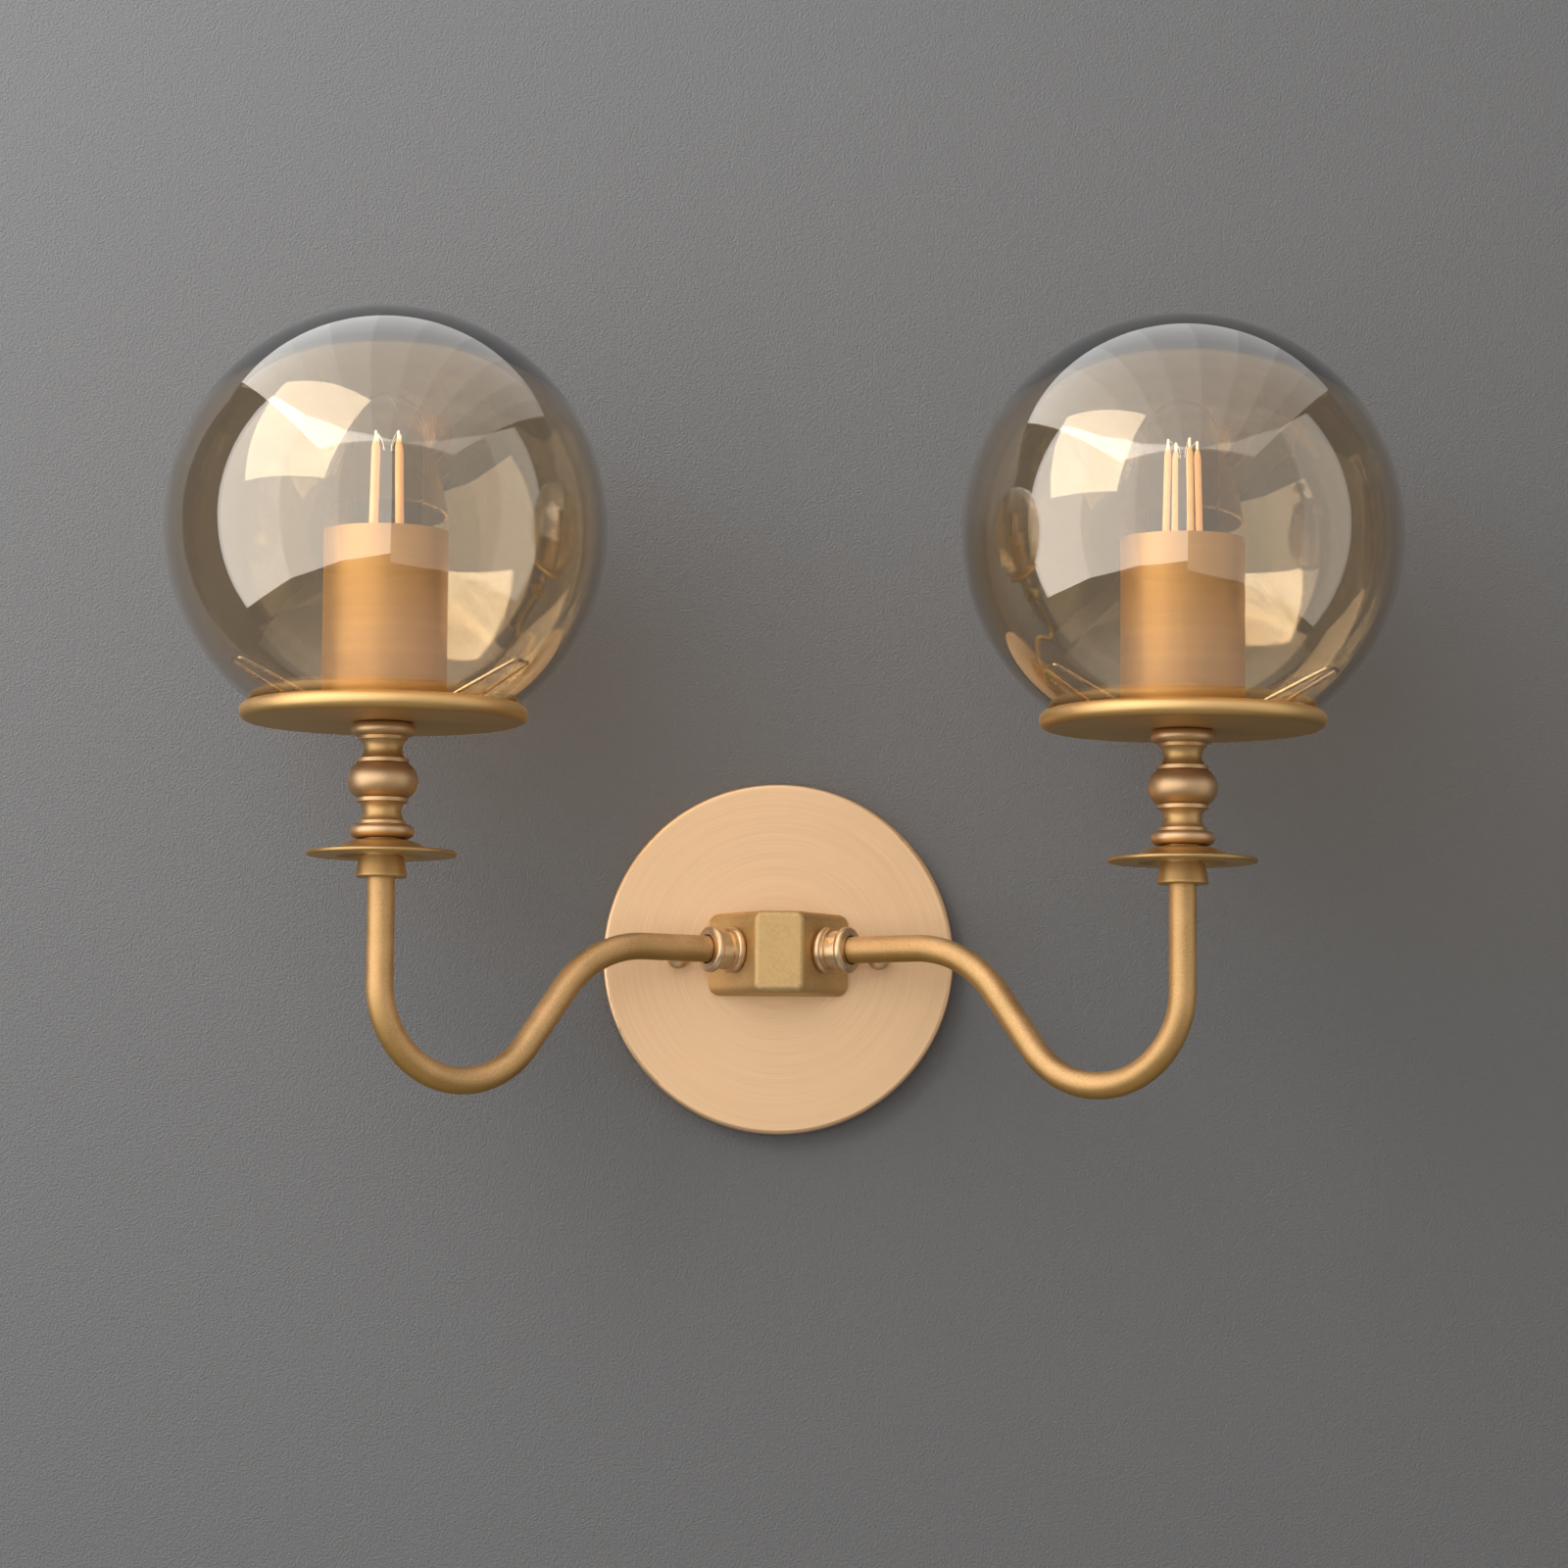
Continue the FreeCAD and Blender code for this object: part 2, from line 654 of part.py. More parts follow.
def makeCastBody():
    """A drafted block, hollow inside, with a square front and two faces square to the arms."""
    body = newBody("cast_body")
    draft = "(BodyBackHeight - BodyFrontHeight)"
    back = castSection(body, "BackSection", "0", "BodyBackWidth", "BodyBackHeight", "BodyBackRound")
    waist_height = "(BodyBackHeight - %s * BodyBase / %s)" % (draft, BODY_DEPTH)
    waist = castSection(body, "WaistSection", "BodyBase", "BodyBackWidth", waist_height, "BodyBackRound")
    front = castSection(body, "FrontSection", BODY_DEPTH, "BodyFrontWidth", "BodyFrontHeight",
                        "BodyFrontRound")
    block = body.newObject("PartDesign::AdditiveLoft", "Block")
    block.Profile = back
    block.Sections = [waist, front]
    block.Ruled = True
    doc.recompute()
    softenFront(body, block)

    slope = "(BodyWall / cos(ArmAngle))"
    front_half = "(BodyFrontWidth / 2 + BodyWall * tan(ArmAngle) - %s)" % slope
    inner_back = castSection(body, "InnerBack", "BodyWall", "BodyBackWidth - 2 * " + slope,
                             "BodyBackHeight - 2 * BodyWall", "BodyCoreRound")
    inner_front = castSection(body, "InnerFront", BODY_DEPTH + " - BodyWall", "2 * " + front_half,
                              "BodyFrontHeight - 2 * BodyWall", "BodyCoreRound")
    core = body.newObject("PartDesign::SubtractiveLoft", "Core")
    core.Profile = inner_back
    core.Sections = [inner_front]
    core.Ruled = True

    back_centre = ("0", "BodyWall / 2", "0")
    cutCylinder(body, "NippleHole", NIPPLE_HOLE, "2 * BodyWall", back_centre, Vector(0, -1, 0))
    angle = math.radians(size("ArmAngle"))
    for side, sign in SIDES.items():
        outward = Vector(sign * math.cos(angle), -math.sin(angle), 0)
        centre = ("%d * (%s - ArmEntry * cos(ArmAngle))" % (sign, FACE_X),
                  "-1 * (%s - PlateDepth) + ArmEntry * sin(ArmAngle)" % FACE_Y, "ArmLift - BodyLift")
        cutCylinder(body, side + "ArmHole", "TubeRadius + TubeFit", "2 * ArmEntry", centre, outward)
    place(body, "0", "-1 * PlateDepth", "BodyLift")


def castSection(body, name, lift, width, height, radius):
    sketch = newSketch(body, name, lift=lift)
    roundedRectangle(sketch, width, height, radius)
    return sketch


def softenFront(body, block):
    """Round the edges of the front face."""
    front = -size(BODY_DEPTH)
    edges = []
    for number, edge in enumerate(block.Shape.Edges, start=1):
        if all(abs(vertex.Y - front) < 1e-4 for vertex in edge.Vertexes):
            edges.append("Edge%d" % number)
    fillet = body.newObject("PartDesign::Fillet", "FrontEdges")
    fillet.Base = (block, edges)
    fillet.setExpression("Radius", bound("BodyEdgeRound"))
    body.Tip = fillet


def makeArmCollar(side):
    """A spool: a ring against the angled face, a bead, a neck, and an open outer ring."""
    bore = "(TubeRadius + CollarMouthGap)"
    crown = "(CollarRingRadius - CollarRingHalf)"
    ring_width = "(2 * CollarRingHalf)"
    bead_end = "(%s + CollarBeadWidth)" % ring_width
    body = turned(side + "_arm_collar", (bore, "0"), [
        (crown, "0"),
        arc((crown, ring_width), (crown, "CollarRingHalf")),
        ("CollarBeadRadius", ring_width),
        ("CollarBeadRadius", bead_end),
        ("CollarNeckRadius", bead_end),
        ("CollarNeckRadius", "CollarLength - " + ring_width),
        (crown, "CollarLength - " + ring_width),
        arc((crown, "CollarLength"), (crown, "CollarLength - CollarRingHalf")),
        (bore, "CollarLength"),
        (bore, "0"),
    ])
    outward = armHeading(side).multVec(Vector(1, 0, 0))
    place(body, "%d * %s" % (SIDES[side], FACE_X), "-1 * " + FACE_Y, "ArmLift",
          Rotation(Vector(0, 0, 1), outward))


def makeArm(side):
    """Bent tube in one vertical plane, from inside the cast body to the stem collar."""
    body = newBody(side + "_arm")
    route = newSketch(body, "Route")
    level = "(ArmEntry + %s)" % LEVEL
    drop_x = "(%s + DropBend * sin(DropAngle))" % level
    drop_z = "(DropBend * (cos(DropAngle) - 1))"
    slant_x = "(%s + %s * cos(DropAngle))" % (drop_x, SLANT)
    slant_z = "(%s - %s * sin(DropAngle))" % (drop_z, SLANT)
    cradle_x = "(ArmEntry + %s - CradleBend)" % ARM_RUN
    cradle_z = "(CradleBend - ArmDip)"
    upright_x = "(ArmEntry + %s)" % ARM_RUN
    draw(route, ("0", "0"), [
        (level, "0"),
        arc((drop_x, drop_z), (level, "-1 * DropBend"), clockwise=True),
        (slant_x, slant_z),
        arc((upright_x, cradle_z), (cradle_x, cradle_z)),
        (upright_x, TUBE_TOP + " - ArmLift"),
    ], closed=False)
    section = newSketch(body, "Section", "YZ_Plane")
    circle(section, "0", "0", "TubeRadius")
    circle(section, "0", "0", "TubeRadius - TubeWall")
    tube = body.newObject("PartDesign::AdditivePipe", "Tube")
    tube.Profile = section
    tube.Spine = route
    inward = "(%s - ArmEntry * cos(ArmAngle))" % FACE_X
    place(body, "%d * %s" % (SIDES[side], inward), "-1 * %s + ArmEntry * sin(ArmAngle)" % FACE_Y,
          "ArmLift", armHeading(side))


def makeLead(side):
    """Lamp lead: down the arm, round inside the cast body and back through its hollow thread."""
    sign = SIDES[side]
    across = sign * (size("LeadRadius") + size("LeadGap") / 2)
    angle = math.radians(size("ArmAngle"))
    drop = math.radians(size("DropAngle"))
    lift = size("ArmLift")
    face = Vector(sign * size(FACE_X), -size(FACE_Y), lift)
    outward = Vector(sign * math.cos(angle), -math.sin(angle), 0)
    corner = face - outward * ((abs(face.x) - abs(across)) / math.cos(angle))
    level_end = face + outward * size(LEVEL)
    slant_corner = level_end + outward * (size("DropBend") * math.tan(drop / 2))
    slant_fall = Vector(0, 0, -math.sin(drop)) + outward * math.cos(drop)
    bottom = lift - size("ArmDip")
    reach = (lift - bottom) / math.sin(drop)
    cradle_corner = slant_corner + slant_fall * reach
    upright = face + outward * size(ARM_RUN)
    points = [
        (Vector(corner.x, -size("LeadEnd"), lift), 0),
        (corner, size("LeadBend")),
        (slant_corner, size("DropBend")),
        (cradle_corner, size("CradleBend")),
        (Vector(upright.x, upright.y, bottom), size("CradleBend")),
        (Vector(upright.x, upright.y, size(NIPPLE_TOP) - size("LeadTop")), 0),
    ]
    part = doc.addObject("Part::Feature", side + "_lead")
    part.Label = side + "_lead"
    part.Shape = wireShape(points, size("LeadRadius"))
    parts.append(part)
    bends = [bend for _, bend in points if bend]
    section = math.pi * size("LeadRadius") ** 2
    print("%s: bends %s mm, route %.1f mm, volume over section %.1f mm"
          % (part.Label, bends, wireRoute(points).Length, part.Shape.Volume / section))


# ---------------------------------------------------------------- lamp stack

def makeStemCollar(side):
    """Tapered collar that carries the bobeche and joins the arm to the lamp's hollow thread."""
    bore = "(TubeRadius + TubeFit)"
    foot = "(StemFootRadius - StemEdgeRound)"
    top = "(StemHeight + BobecheRise - BobecheSheet)"
    body = turned(side + "_stem_collar", (bore, "0"), [
        (foot, "0"),
        arc(("StemFootRadius", "StemEdgeRound"), (foot, "StemEdgeRound")),
        ("StemTopRadius", "StemHeight"),
        ("StemHubRadius", "StemHeight"),
        ("StemHubRadius", top),
        (NIPPLE_HOLE, top),
        (NIPPLE_HOLE, "StemTubeDepth"),
        (bore, "StemTubeDepth"),
        (bore, "0"),
    ])
    placeOnLamp(body, side, "StemFoot")


def makeBobeche(side):
    """Spun disc with a domed middle."""
    rise = "(BobecheRise - BobecheSheet)"
    spread = "(BobecheDomeRadius - BobecheTopRadius)"
    dome = "((%s ^ 2 + %s ^ 2) / 2 / %s)" % (spread, rise, rise)
    centre = ("BobecheTopRadius", "BobecheRise - " + dome)
    edge = "(BobecheRadius - BobecheSheet / 2)"
    under = "(BobecheTopRadius + sqrt((%s - BobecheSheet) ^ 2 - (BobecheRise - %s) ^ 2))" % (dome, dome)
    body = turned(side + "_bobeche", (NIPPLE_HOLE, "BobecheRise"), [
        ("BobecheTopRadius", "BobecheRise"),
        arc(("BobecheDomeRadius", "BobecheSheet"), centre, clockwise=True),
        (edge, "BobecheSheet"),
        arc((edge, "0"), (edge, "BobecheSheet / 2"), clockwise=True),
        (under, "0"),
        arc(("BobecheTopRadius", rise), centre),
        (NIPPLE_HOLE, rise),
        (NIPPLE_HOLE, "BobecheRise"),
    ])
    placeOnLamp(body, side, BOBECHE_Z)


def cove(low, high, rim, waist):
    """Hollow curve up from low to high that narrows from the rim radius to the waist radius."""
    half = "((%s - %s) / 2)" % (high, low)
    depth = "(%s - %s)" % (rim, waist)
    bend = "((%s ^ 2 + %s ^ 2) / 2 / %s)" % (half, depth, depth)
    return arc((rim, high), ("%s + %s" % (waist, bend), "%s + %s" % (low, half)), clockwise=True)


def bulge(low, high, rim, crest):
    """Swelling curve up from low to high that widens from the rim radius to the crest radius."""
    half = "((%s - %s) / 2)" % (high, low)
    depth = "(%s - %s)" % (crest, rim)
    bend = "((%s ^ 2 + %s ^ 2) / 2 / %s)" % (half, depth, depth)
    return arc((rim, high), ("%s - %s" % (crest, bend), "%s + %s" % (low, half)))


def makeSpindle(side):
    """Turned baluster: ring, cove and step below a ball, and the same above it."""
    crown = "(SpindleRingRadius - SpindleRing / 2)"
    shoulder = "(SpindleFilletRadius - SpindleShoulder)"
    brow = "(SpindleStepRadius - SpindleBrow)"
    marks = ["SpindleFoot"]
    for rise in ("SpindleRing", "SpindleFillet", "SpindleNeck", "SpindleStep", "SpindleBall",
                 "SpindleStep", "SpindleNeck", "SpindleFillet", "SpindleRing"):
        marks.append("(%s + %s)" % (marks[-1], rise))
    outline = [
        ("SpindleFootRadius", "0"),
        ("SpindleFootRadius", marks[0]),
        (crown, marks[0]),
        bulge(marks[0], marks[1], crown, "SpindleRingRadius"),
        ("SpindleFilletRadius", marks[1]),
        ("SpindleFilletRadius", marks[2]),
        (shoulder, marks[2]),
        cove(marks[2], marks[3], shoulder, "SpindleNeckRadius"),
        ("SpindleStepRadius", marks[3]),
        ("SpindleStepRadius", marks[4]),
        (brow, marks[4]),
        bulge(marks[4], marks[5], brow, "SpindleBallRadius"),
        ("SpindleStepRadius", marks[5]),
        ("SpindleStepRadius", marks[6]),
        (shoulder, marks[6]),
        cove(marks[6], marks[7], shoulder, "SpindleNeckRadius"),
        ("SpindleFilletRadius", marks[7]),
        ("SpindleFilletRadius", marks[8]),
        (crown, marks[8]),
        bulge(marks[8], marks[9], crown, "SpindleRingRadius"),
        (NIPPLE_HOLE, marks[9]),
        (NIPPLE_HOLE, "0"),
    ]
    placeOnLamp(turned(side + "_spindle", (NIPPLE_HOLE, "0"), outline), side, SPINDLE_Z)


def makeLampNipple(side):
    """Hollow thread from the stem collar up through the whole stack into the socket."""
    start = "(%s + StackGap)" % TUBE_TOP
    nipple = ring(side + "_lamp_nipple", "NippleBore", "NippleRadius", "%s - %s" % (NIPPLE_TOP, start))
    placeOnLamp(nipple, side, start)


def makeGlobePlate(side):
    """Dish with a half round rim that the globe stands in."""
    corner = "DishCorner"
    body = turned(side + "_globe_plate", (NIPPLE_HOLE, "0"), [
        (DISH_INNER, "0"),
        arc((DISH_INNER, "DishRim"), (DISH_INNER, "DishRim / 2")),
        (DISH_INNER, "DishFloor + " + corner),
        arc((DISH_INNER + " - " + corner, "DishFloor"),
            (DISH_INNER + " - " + corner, "DishFloor + " + corner), clockwise=True),
        (NIPPLE_HOLE, "DishFloor"),
        (NIPPLE_HOLE, "0"),
    ])
    placeOnLamp(body, side, DISH_Z)


# The bend at each foot of a clip starts just outside its ear.
EAR_PLACE = "(ClipFootHalf - ClipBendRadius * tan(ClipFootTurn / 2) - EarGap - EarThick)"

# Where each clip points, in degrees anticlockwise from +X seen from above.
CLIP_HEADINGS = {"back": 90, "front_left": 210, "front_right": 330}


def swung(x, y, heading):
    """A point in plan, turned about the lamp's axis."""
    return ("%s * cos(%d) - %s * sin(%d)" % (x, heading, y, heading),
            "%s * sin(%d) + %s * cos(%d)" % (x, heading, y, heading))


def makeClipCarrier(side):
    """Disc on the dish floor with three pairs of ears, one pair for each clip's feet."""
    body = newBody(side + "_clip_carrier")
    revolve(body, "Disc", (NIPPLE_HOLE, "0"), [
        (CARRIER_RADIUS, "0"),
        (CARRIER_RADIUS, "CarrierThick"),
        (NIPPLE_HOLE, "CarrierThick"),
        (NIPPLE_HOLE, "0"),
    ])
    outline = newSketch(body, "EarOutline", "XY_Plane", lift="CarrierThick / 2")
    near = "(%s - EarLength / 2)" % PIVOT_RADIUS
    far = "(%s + EarLength / 2)" % PIVOT_RADIUS
    for heading in CLIP_HEADINGS.values():
        for sign in SIDES.values():
            low = "(%d * %s)" % (sign, EAR_PLACE)
            high = "(%d * (%s + EarThick))" % (sign, EAR_PLACE)
            square = [(near, low), (far, low), (far, high), (near, high)]
            corners = [swung(x, y, heading) for x, y in square]
            draw(outline, corners[0], corners[1:] + corners[:1])
    ears = body.newObject("PartDesign::Pad", "Ears")
    ears.Profile = outline
    ears.setExpression("Length", bound("EarHeight + CarrierThick / 2"))
    reach = "(2 * ClipFootHalf)"
    for name, heading in CLIP_HEADINGS.items():
        start = swung(PIVOT_RADIUS, "(-1 * %s)" % reach, heading)
        across = Rotation(Vector(0, 0, 1), heading).multVec(Vector(0, 1, 0))
        cutCylinder(body, name + "_eyes", "ClipWire / 2 + ClipEarGap", "2 * " + reach,
                    start + ("CarrierThick + ClipPivotHeight",), across)
    placeOnLamp(body, side, FLOOR_Z)


def clipLength():
    """The clip reaches up to the inside of the glass, less its clearance."""
    rise = math.radians(size("ClipRise"))
    pivot = Vector(size(PIVOT_RADIUS), 0, size(CUP_Z) + size("ClipPivotHeight") - size(GLOBE_Z))
    along = Vector(math.cos(rise), 0, math.sin(rise))
    room = size(GLOBE_INNER) - size("ClipWire") / 2 - size("ClipGap")
    limit = room ** 2 - size("ClipTipHalf") ** 2
    ahead = pivot.dot(along)
    return -ahead + math.sqrt(ahead ** 2 - pivot.dot(pivot) + limit)


def makeClip(side, place_name, heading):
    """Hairpin of spring wire: feet in the ears, legs that draw together, and a cross bar."""
    length = clipLength()
    foot = size("ClipFootHalf")
    toe = size(EAR_PLACE) - size("ClipToe")
    tip = size("ClipTipHalf")
    bend = size("ClipBendRadius")
    points = [
        (Vector(0, -toe, 0), 0),
        (Vector(0, -foot, 0), bend),
        (Vector(length, -tip, 0), bend),
        (Vector(length, tip, 0), bend),
        (Vector(0, foot, 0), bend),
        (Vector(0, toe, 0), 0),
    ]
    name = "%s_clip_%s" % (side, place_name)
    clip = doc.addObject("Part::Feature", name)
    clip.Label = name
    clip.Shape = wireShape(points, size("ClipWire") / 2)
    turn = Rotation(Vector(0, 0, 1), heading)
    tilt = Rotation(Vector(0, 1, 0), -size("ClipRise"))
    centre = Vector(SIDES[side] * size("LampX"), -size(LAMP_Y), size(CUP_Z) + size("ClipPivotHeight"))
    out = turn.multVec(Vector(size(PIVOT_RADIUS), 0, 0))
    clip.Placement = Placement(centre + out, turn.multiply(tilt))
    parts.append(clip)


def makeSocketCup(side):
    """Spun cup, open at the top, that hides the socket."""
    corner = "(%s - CupCornerRound)" % CUP_RADIUS
    inner = "(%s - CupWall)" % CUP_RADIUS
    body = turned(side + "_socket_cup", (NIPPLE_HOLE, "0"), [
        (corner, "0"),
        arc((CUP_RADIUS, "CupCornerRound"), (corner, "CupCornerRound")),
        (CUP_RADIUS, "CupHeight"),
        (inner, "CupHeight"),
        (inner, "CupCornerRound"),
        arc((corner, "CupWall"), (corner, "CupCornerRound"), clockwise=True),
        (NIPPLE_HOLE, "CupWall"),
        (NIPPLE_HOLE, "0"),
    ])
    placeOnLamp(body, side, CUP_Z)


def makeSocket(side):
    """Lamp socket: nut, moulded body with a blind threaded foot, screw shell and centre contact."""
    nut = hexNut(side + "_socket_nut", "SocketNutRadius", "SocketNutHeight", NIPPLE_HOLE)
    placeOnLamp(nut, side, CUP_FLOOR_Z)
    seat = "(%s + ShellSeat)" % SHELL_RADIUS
    blind = "(SocketFloor - SocketBlind)"
    moulding = turned(side + "_socket_body", (NIPPLE_HOLE, "0"), [
        (SOCKET_RADIUS + " - SocketEdge", "0"),
        (SOCKET_RADIUS, "SocketEdge"),
        (SOCKET_RADIUS, "SocketHeight"),
        (seat, "SocketHeight"),
        (seat, "SocketFloor"),
        ("0", "SocketFloor"),
        ("0", blind),
        (NIPPLE_HOLE, blind),
        (NIPPLE_HOLE, "0"),
    ])
    placeOnLamp(moulding, side, SOCKET_Z)
    shell = ring(side + "_socket_shell", SHELL_RADIUS + " - ShellWall", SHELL_RADIUS, "ShellHeight")
    placeOnLamp(shell, side, "%s + SocketFloor" % SOCKET_Z)
    stalk = "ContactStalk"
    contact = turned(side + "_socket_contact", ("0", "0"), [
        (stalk, "0"),
        (stalk, "ContactRise - ContactSheet"),
        ("ContactRadius", "ContactRise - ContactSheet"),
        ("ContactRadius", "ContactRise"),
        ("0", "ContactRise"),
        ("0", "0"),
    ])
    placeOnLamp(contact, side, "%s + SocketFloor" % SOCKET_Z)


# ---------------------------------------------------------------- bulb and globe

def makeBulbFoot(side):
    """Screw cap with its insulator and centre contact."""
    low = "(BulbContactRadius - BulbContactRound)"
    contact = turned(side + "_bulb_contact", ("0", "0"), [
        (low, "0"),
        arc(("BulbContactRadius", "BulbContactRound"), (low, "BulbContactRound")),
        ("BulbContactRadius", "BulbContactHeight"),
        ("0", "BulbContactHeight"),
        ("0", "0"),
    ])
    placeOnLamp(contact, side, BULB_Z)
    insulator = turned(side + "_bulb_insulator", ("0", "0"), [
        ("BulbContactRadius + InsulatorEdge", "0"),
        ("CapNeckRadius", "InsulatorHeight"),
        ("0", "InsulatorHeight"),
        ("0", "0"),
    ])
    placeOnLamp(insulator, side, BULB_Z + " + BulbContactHeight")
    inside = "(CapRadius - CapSheet)"
    cone = "(CapRadius - CapNeckRadius)"
    cap = turned(side + "_bulb_cap", ("0", "0"), [
        ("CapNeckRadius", "0"),
        ("CapRadius", cone),
        ("CapRadius", "CapHeight"),
        (inside, "CapHeight"),
        (inside, cone),
        ("CapNeckRadius - CapSheet", "CapSheet"),
        ("0", "CapSheet"),
        ("0", "0"),
    ])
    placeOnLamp(cap, side, CAP_Z)


def makeBulbGlass(side):
    """Clear tube with a domed end."""
    inner = "(BulbRadius - BulbGlass)"
    spring = "(BulbHeight - BulbRadius)"
    body = turned(side + "_bulb_glass", (inner, "0"), [
        ("BulbRadius", "0"),
        ("BulbRadius", spring),
        arc(("0", "BulbHeight"), ("0", spring)),
        ("0", "BulbHeight - BulbGlass"),
        arc((inner, spring), ("0", spring), clockwise=True),
        (inner, "0"),
    ])
    placeOnLamp(body, side, GLASS_Z)


def makeBulbStem(side):
    """Glass stem: a flare in the cap that narrows to a rod between the filaments."""
    foot = "(BulbRadius - BulbGlass - StemSeat)"
    spread = "(%s - StemGlassRadius)" % foot
    body = turned(side + "_bulb_stem", ("0", "0"), [
        (foot, "0"),
        arc(("StemGlassRadius", spread), (foot, spread), clockwise=True),
        ("StemGlassRadius", "StemGlassHeight"),
        ("0", "StemGlassHeight"),
        ("0", "0"),
    ])
    placeOnLamp(body, side, GLASS_Z)


# How far each bulb stopped turning when it was screwed in, in degrees.
BULB_TURNS = {"left": 45.0, "right": 19.4}


def makeFilaments(side):
    """Four sticks round the stem, each held by a wire at its foot and one at its top."""
    sticks = []
    for number in range(4):
        body = newPiece("%sFilament%d" % (side, number))
        foot = "(FilamentCircle + FilamentLean / 2)"
        rise = Vector(-size("FilamentLean"), 0, size("FilamentLength"))
        addCylinder(body, "Stick", "FilamentRadius", "FilamentLength", (foot, "0", "0"), rise)
        for end, height in (("Foot", "FilamentTip / 2"), ("Top", "FilamentLength - FilamentTip")):
            start = "(StemGlassRadius + FilamentSeat)"
            addCylinder(body, end + "Wire", "FilamentWire", "FilamentCircle - " + start,
                        (start, "0", height), Vector(1, 0, 0))
        placeOnLamp(body, side, GLASS_Z + " + FilamentFoot",
                    Rotation(Vector(0, 0, 1), BULB_TURNS[side] + 90 * number))
        sticks.append(body)
    group(side + "_bulb_filaments", sticks)


def makeGlobe(side):
    """Amber glass ball with its mouth cut level to stand in the dish."""
    low = "-1 * " + MOUTH_DROP
    body = turned(side + "_globe", (MOUTH_INNER, low), [
        (MOUTH_OUTER, low),
        arc(("0", "GlobeRadius"), ("0", "0")),
        ("0", GLOBE_INNER),
        arc((MOUTH_INNER, low), ("0", "0"), clockwise=True),
    ])
    placeOnLamp(body, side, GLOBE_Z)


# ---------------------------------------------------------------- build and write

def makeLamp(side):
    makeStemCollar(side)
    makeBobeche(side)
    makeSpindle(side)
    makeLampNipple(side)
    makeGlobePlate(side)
    makeClipCarrier(side)
    for place_name, heading in CLIP_HEADINGS.items():
        makeClip(side, place_name, heading)
    makeSocketCup(side)
    makeSocket(side)
    makeBulbFoot(side)
    makeBulbGlass(side)
    makeBulbStem(side)
    makeFilaments(side)
    makeGlobe(side)


def checkDocument():
    for item in doc.Objects:
        if "Invalid" in item.State or "Error" in item.State:
            raise RuntimeError("%s did not build: %s" % (item.Name, item.State))
    for part in parts:
        if part.Shape.isNull() or not part.Shape.isValid():
            raise RuntimeError("%s has no valid shape" % part.Label)


def writeParts():
    os.makedirs("parts", exist_ok=True)
    for part in parts:
        part.Shape.exportStep("parts/%s.step" % part.Label)


makeBackplate()
makeCrossbar()
makeStuds()
makeStudNuts()
makeGroundScrew()
makeBodyNipple()
makeCastBody()
for side in SIDES:
    makeBallNut(side)
    makeArmCollar(side)
    makeArm(side)
    makeLead(side)
    makeLamp(side)
doc.recompute()
checkDocument()
writeParts()
print("%d sub-parts written" % len(parts))
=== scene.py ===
import math
import bmesh
import bpy
from mathutils import Matrix, Vector


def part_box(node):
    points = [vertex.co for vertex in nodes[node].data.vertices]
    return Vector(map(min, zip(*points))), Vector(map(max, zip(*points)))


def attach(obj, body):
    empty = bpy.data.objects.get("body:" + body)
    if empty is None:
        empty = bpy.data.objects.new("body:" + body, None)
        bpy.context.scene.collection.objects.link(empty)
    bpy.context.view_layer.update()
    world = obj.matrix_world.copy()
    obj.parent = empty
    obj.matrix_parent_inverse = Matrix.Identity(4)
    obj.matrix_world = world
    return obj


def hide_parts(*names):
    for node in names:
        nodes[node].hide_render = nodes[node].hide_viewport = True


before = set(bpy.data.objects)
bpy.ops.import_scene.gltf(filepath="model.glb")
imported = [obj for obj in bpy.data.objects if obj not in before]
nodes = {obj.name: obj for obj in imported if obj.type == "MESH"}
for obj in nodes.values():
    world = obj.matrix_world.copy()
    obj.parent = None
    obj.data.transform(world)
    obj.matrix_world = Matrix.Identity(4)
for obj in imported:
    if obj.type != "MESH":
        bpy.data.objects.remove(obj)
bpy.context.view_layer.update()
sides = {"left": -1, "right": 1}
millimetre = 0.001
fullTurn = 2 * math.pi


def middle(node):
    low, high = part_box(node)
    return (Vector(low) + Vector(high)) / 2


lampAxis = {side: middle(side + "_spindle") for side in sides}
bodyAxis = middle("body_nipple")
print("frame loaded,", len(nodes), "nodes")


class Reading:
    # one shader output that takes part in sums like a number
    def __init__(self, finish, socket):
        self.finish = finish
        self.socket = socket

    def sum(self, operation, first, second):
        settings = {"operation": operation}
        return self.finish.add("ShaderNodeMath", settings, {0: first, 1: second})

    def __add__(self, other):
        return self.sum("ADD", self, other)

    def __radd__(self, other):
        return self.sum("ADD", other, self)

    def __sub__(self, other):
        return self.sum("SUBTRACT", self, other)

    def __rsub__(self, other):
        return self.sum("SUBTRACT", other, self)

    def __mul__(self, other):
        return self.sum("MULTIPLY", self, other)

    def __rmul__(self, other):
        return self.sum("MULTIPLY", other, self)

    def __pow__(self, other):
        return self.sum("POWER", self, other)

    def __rpow__(self, other):
        return self.sum("POWER", other, self)


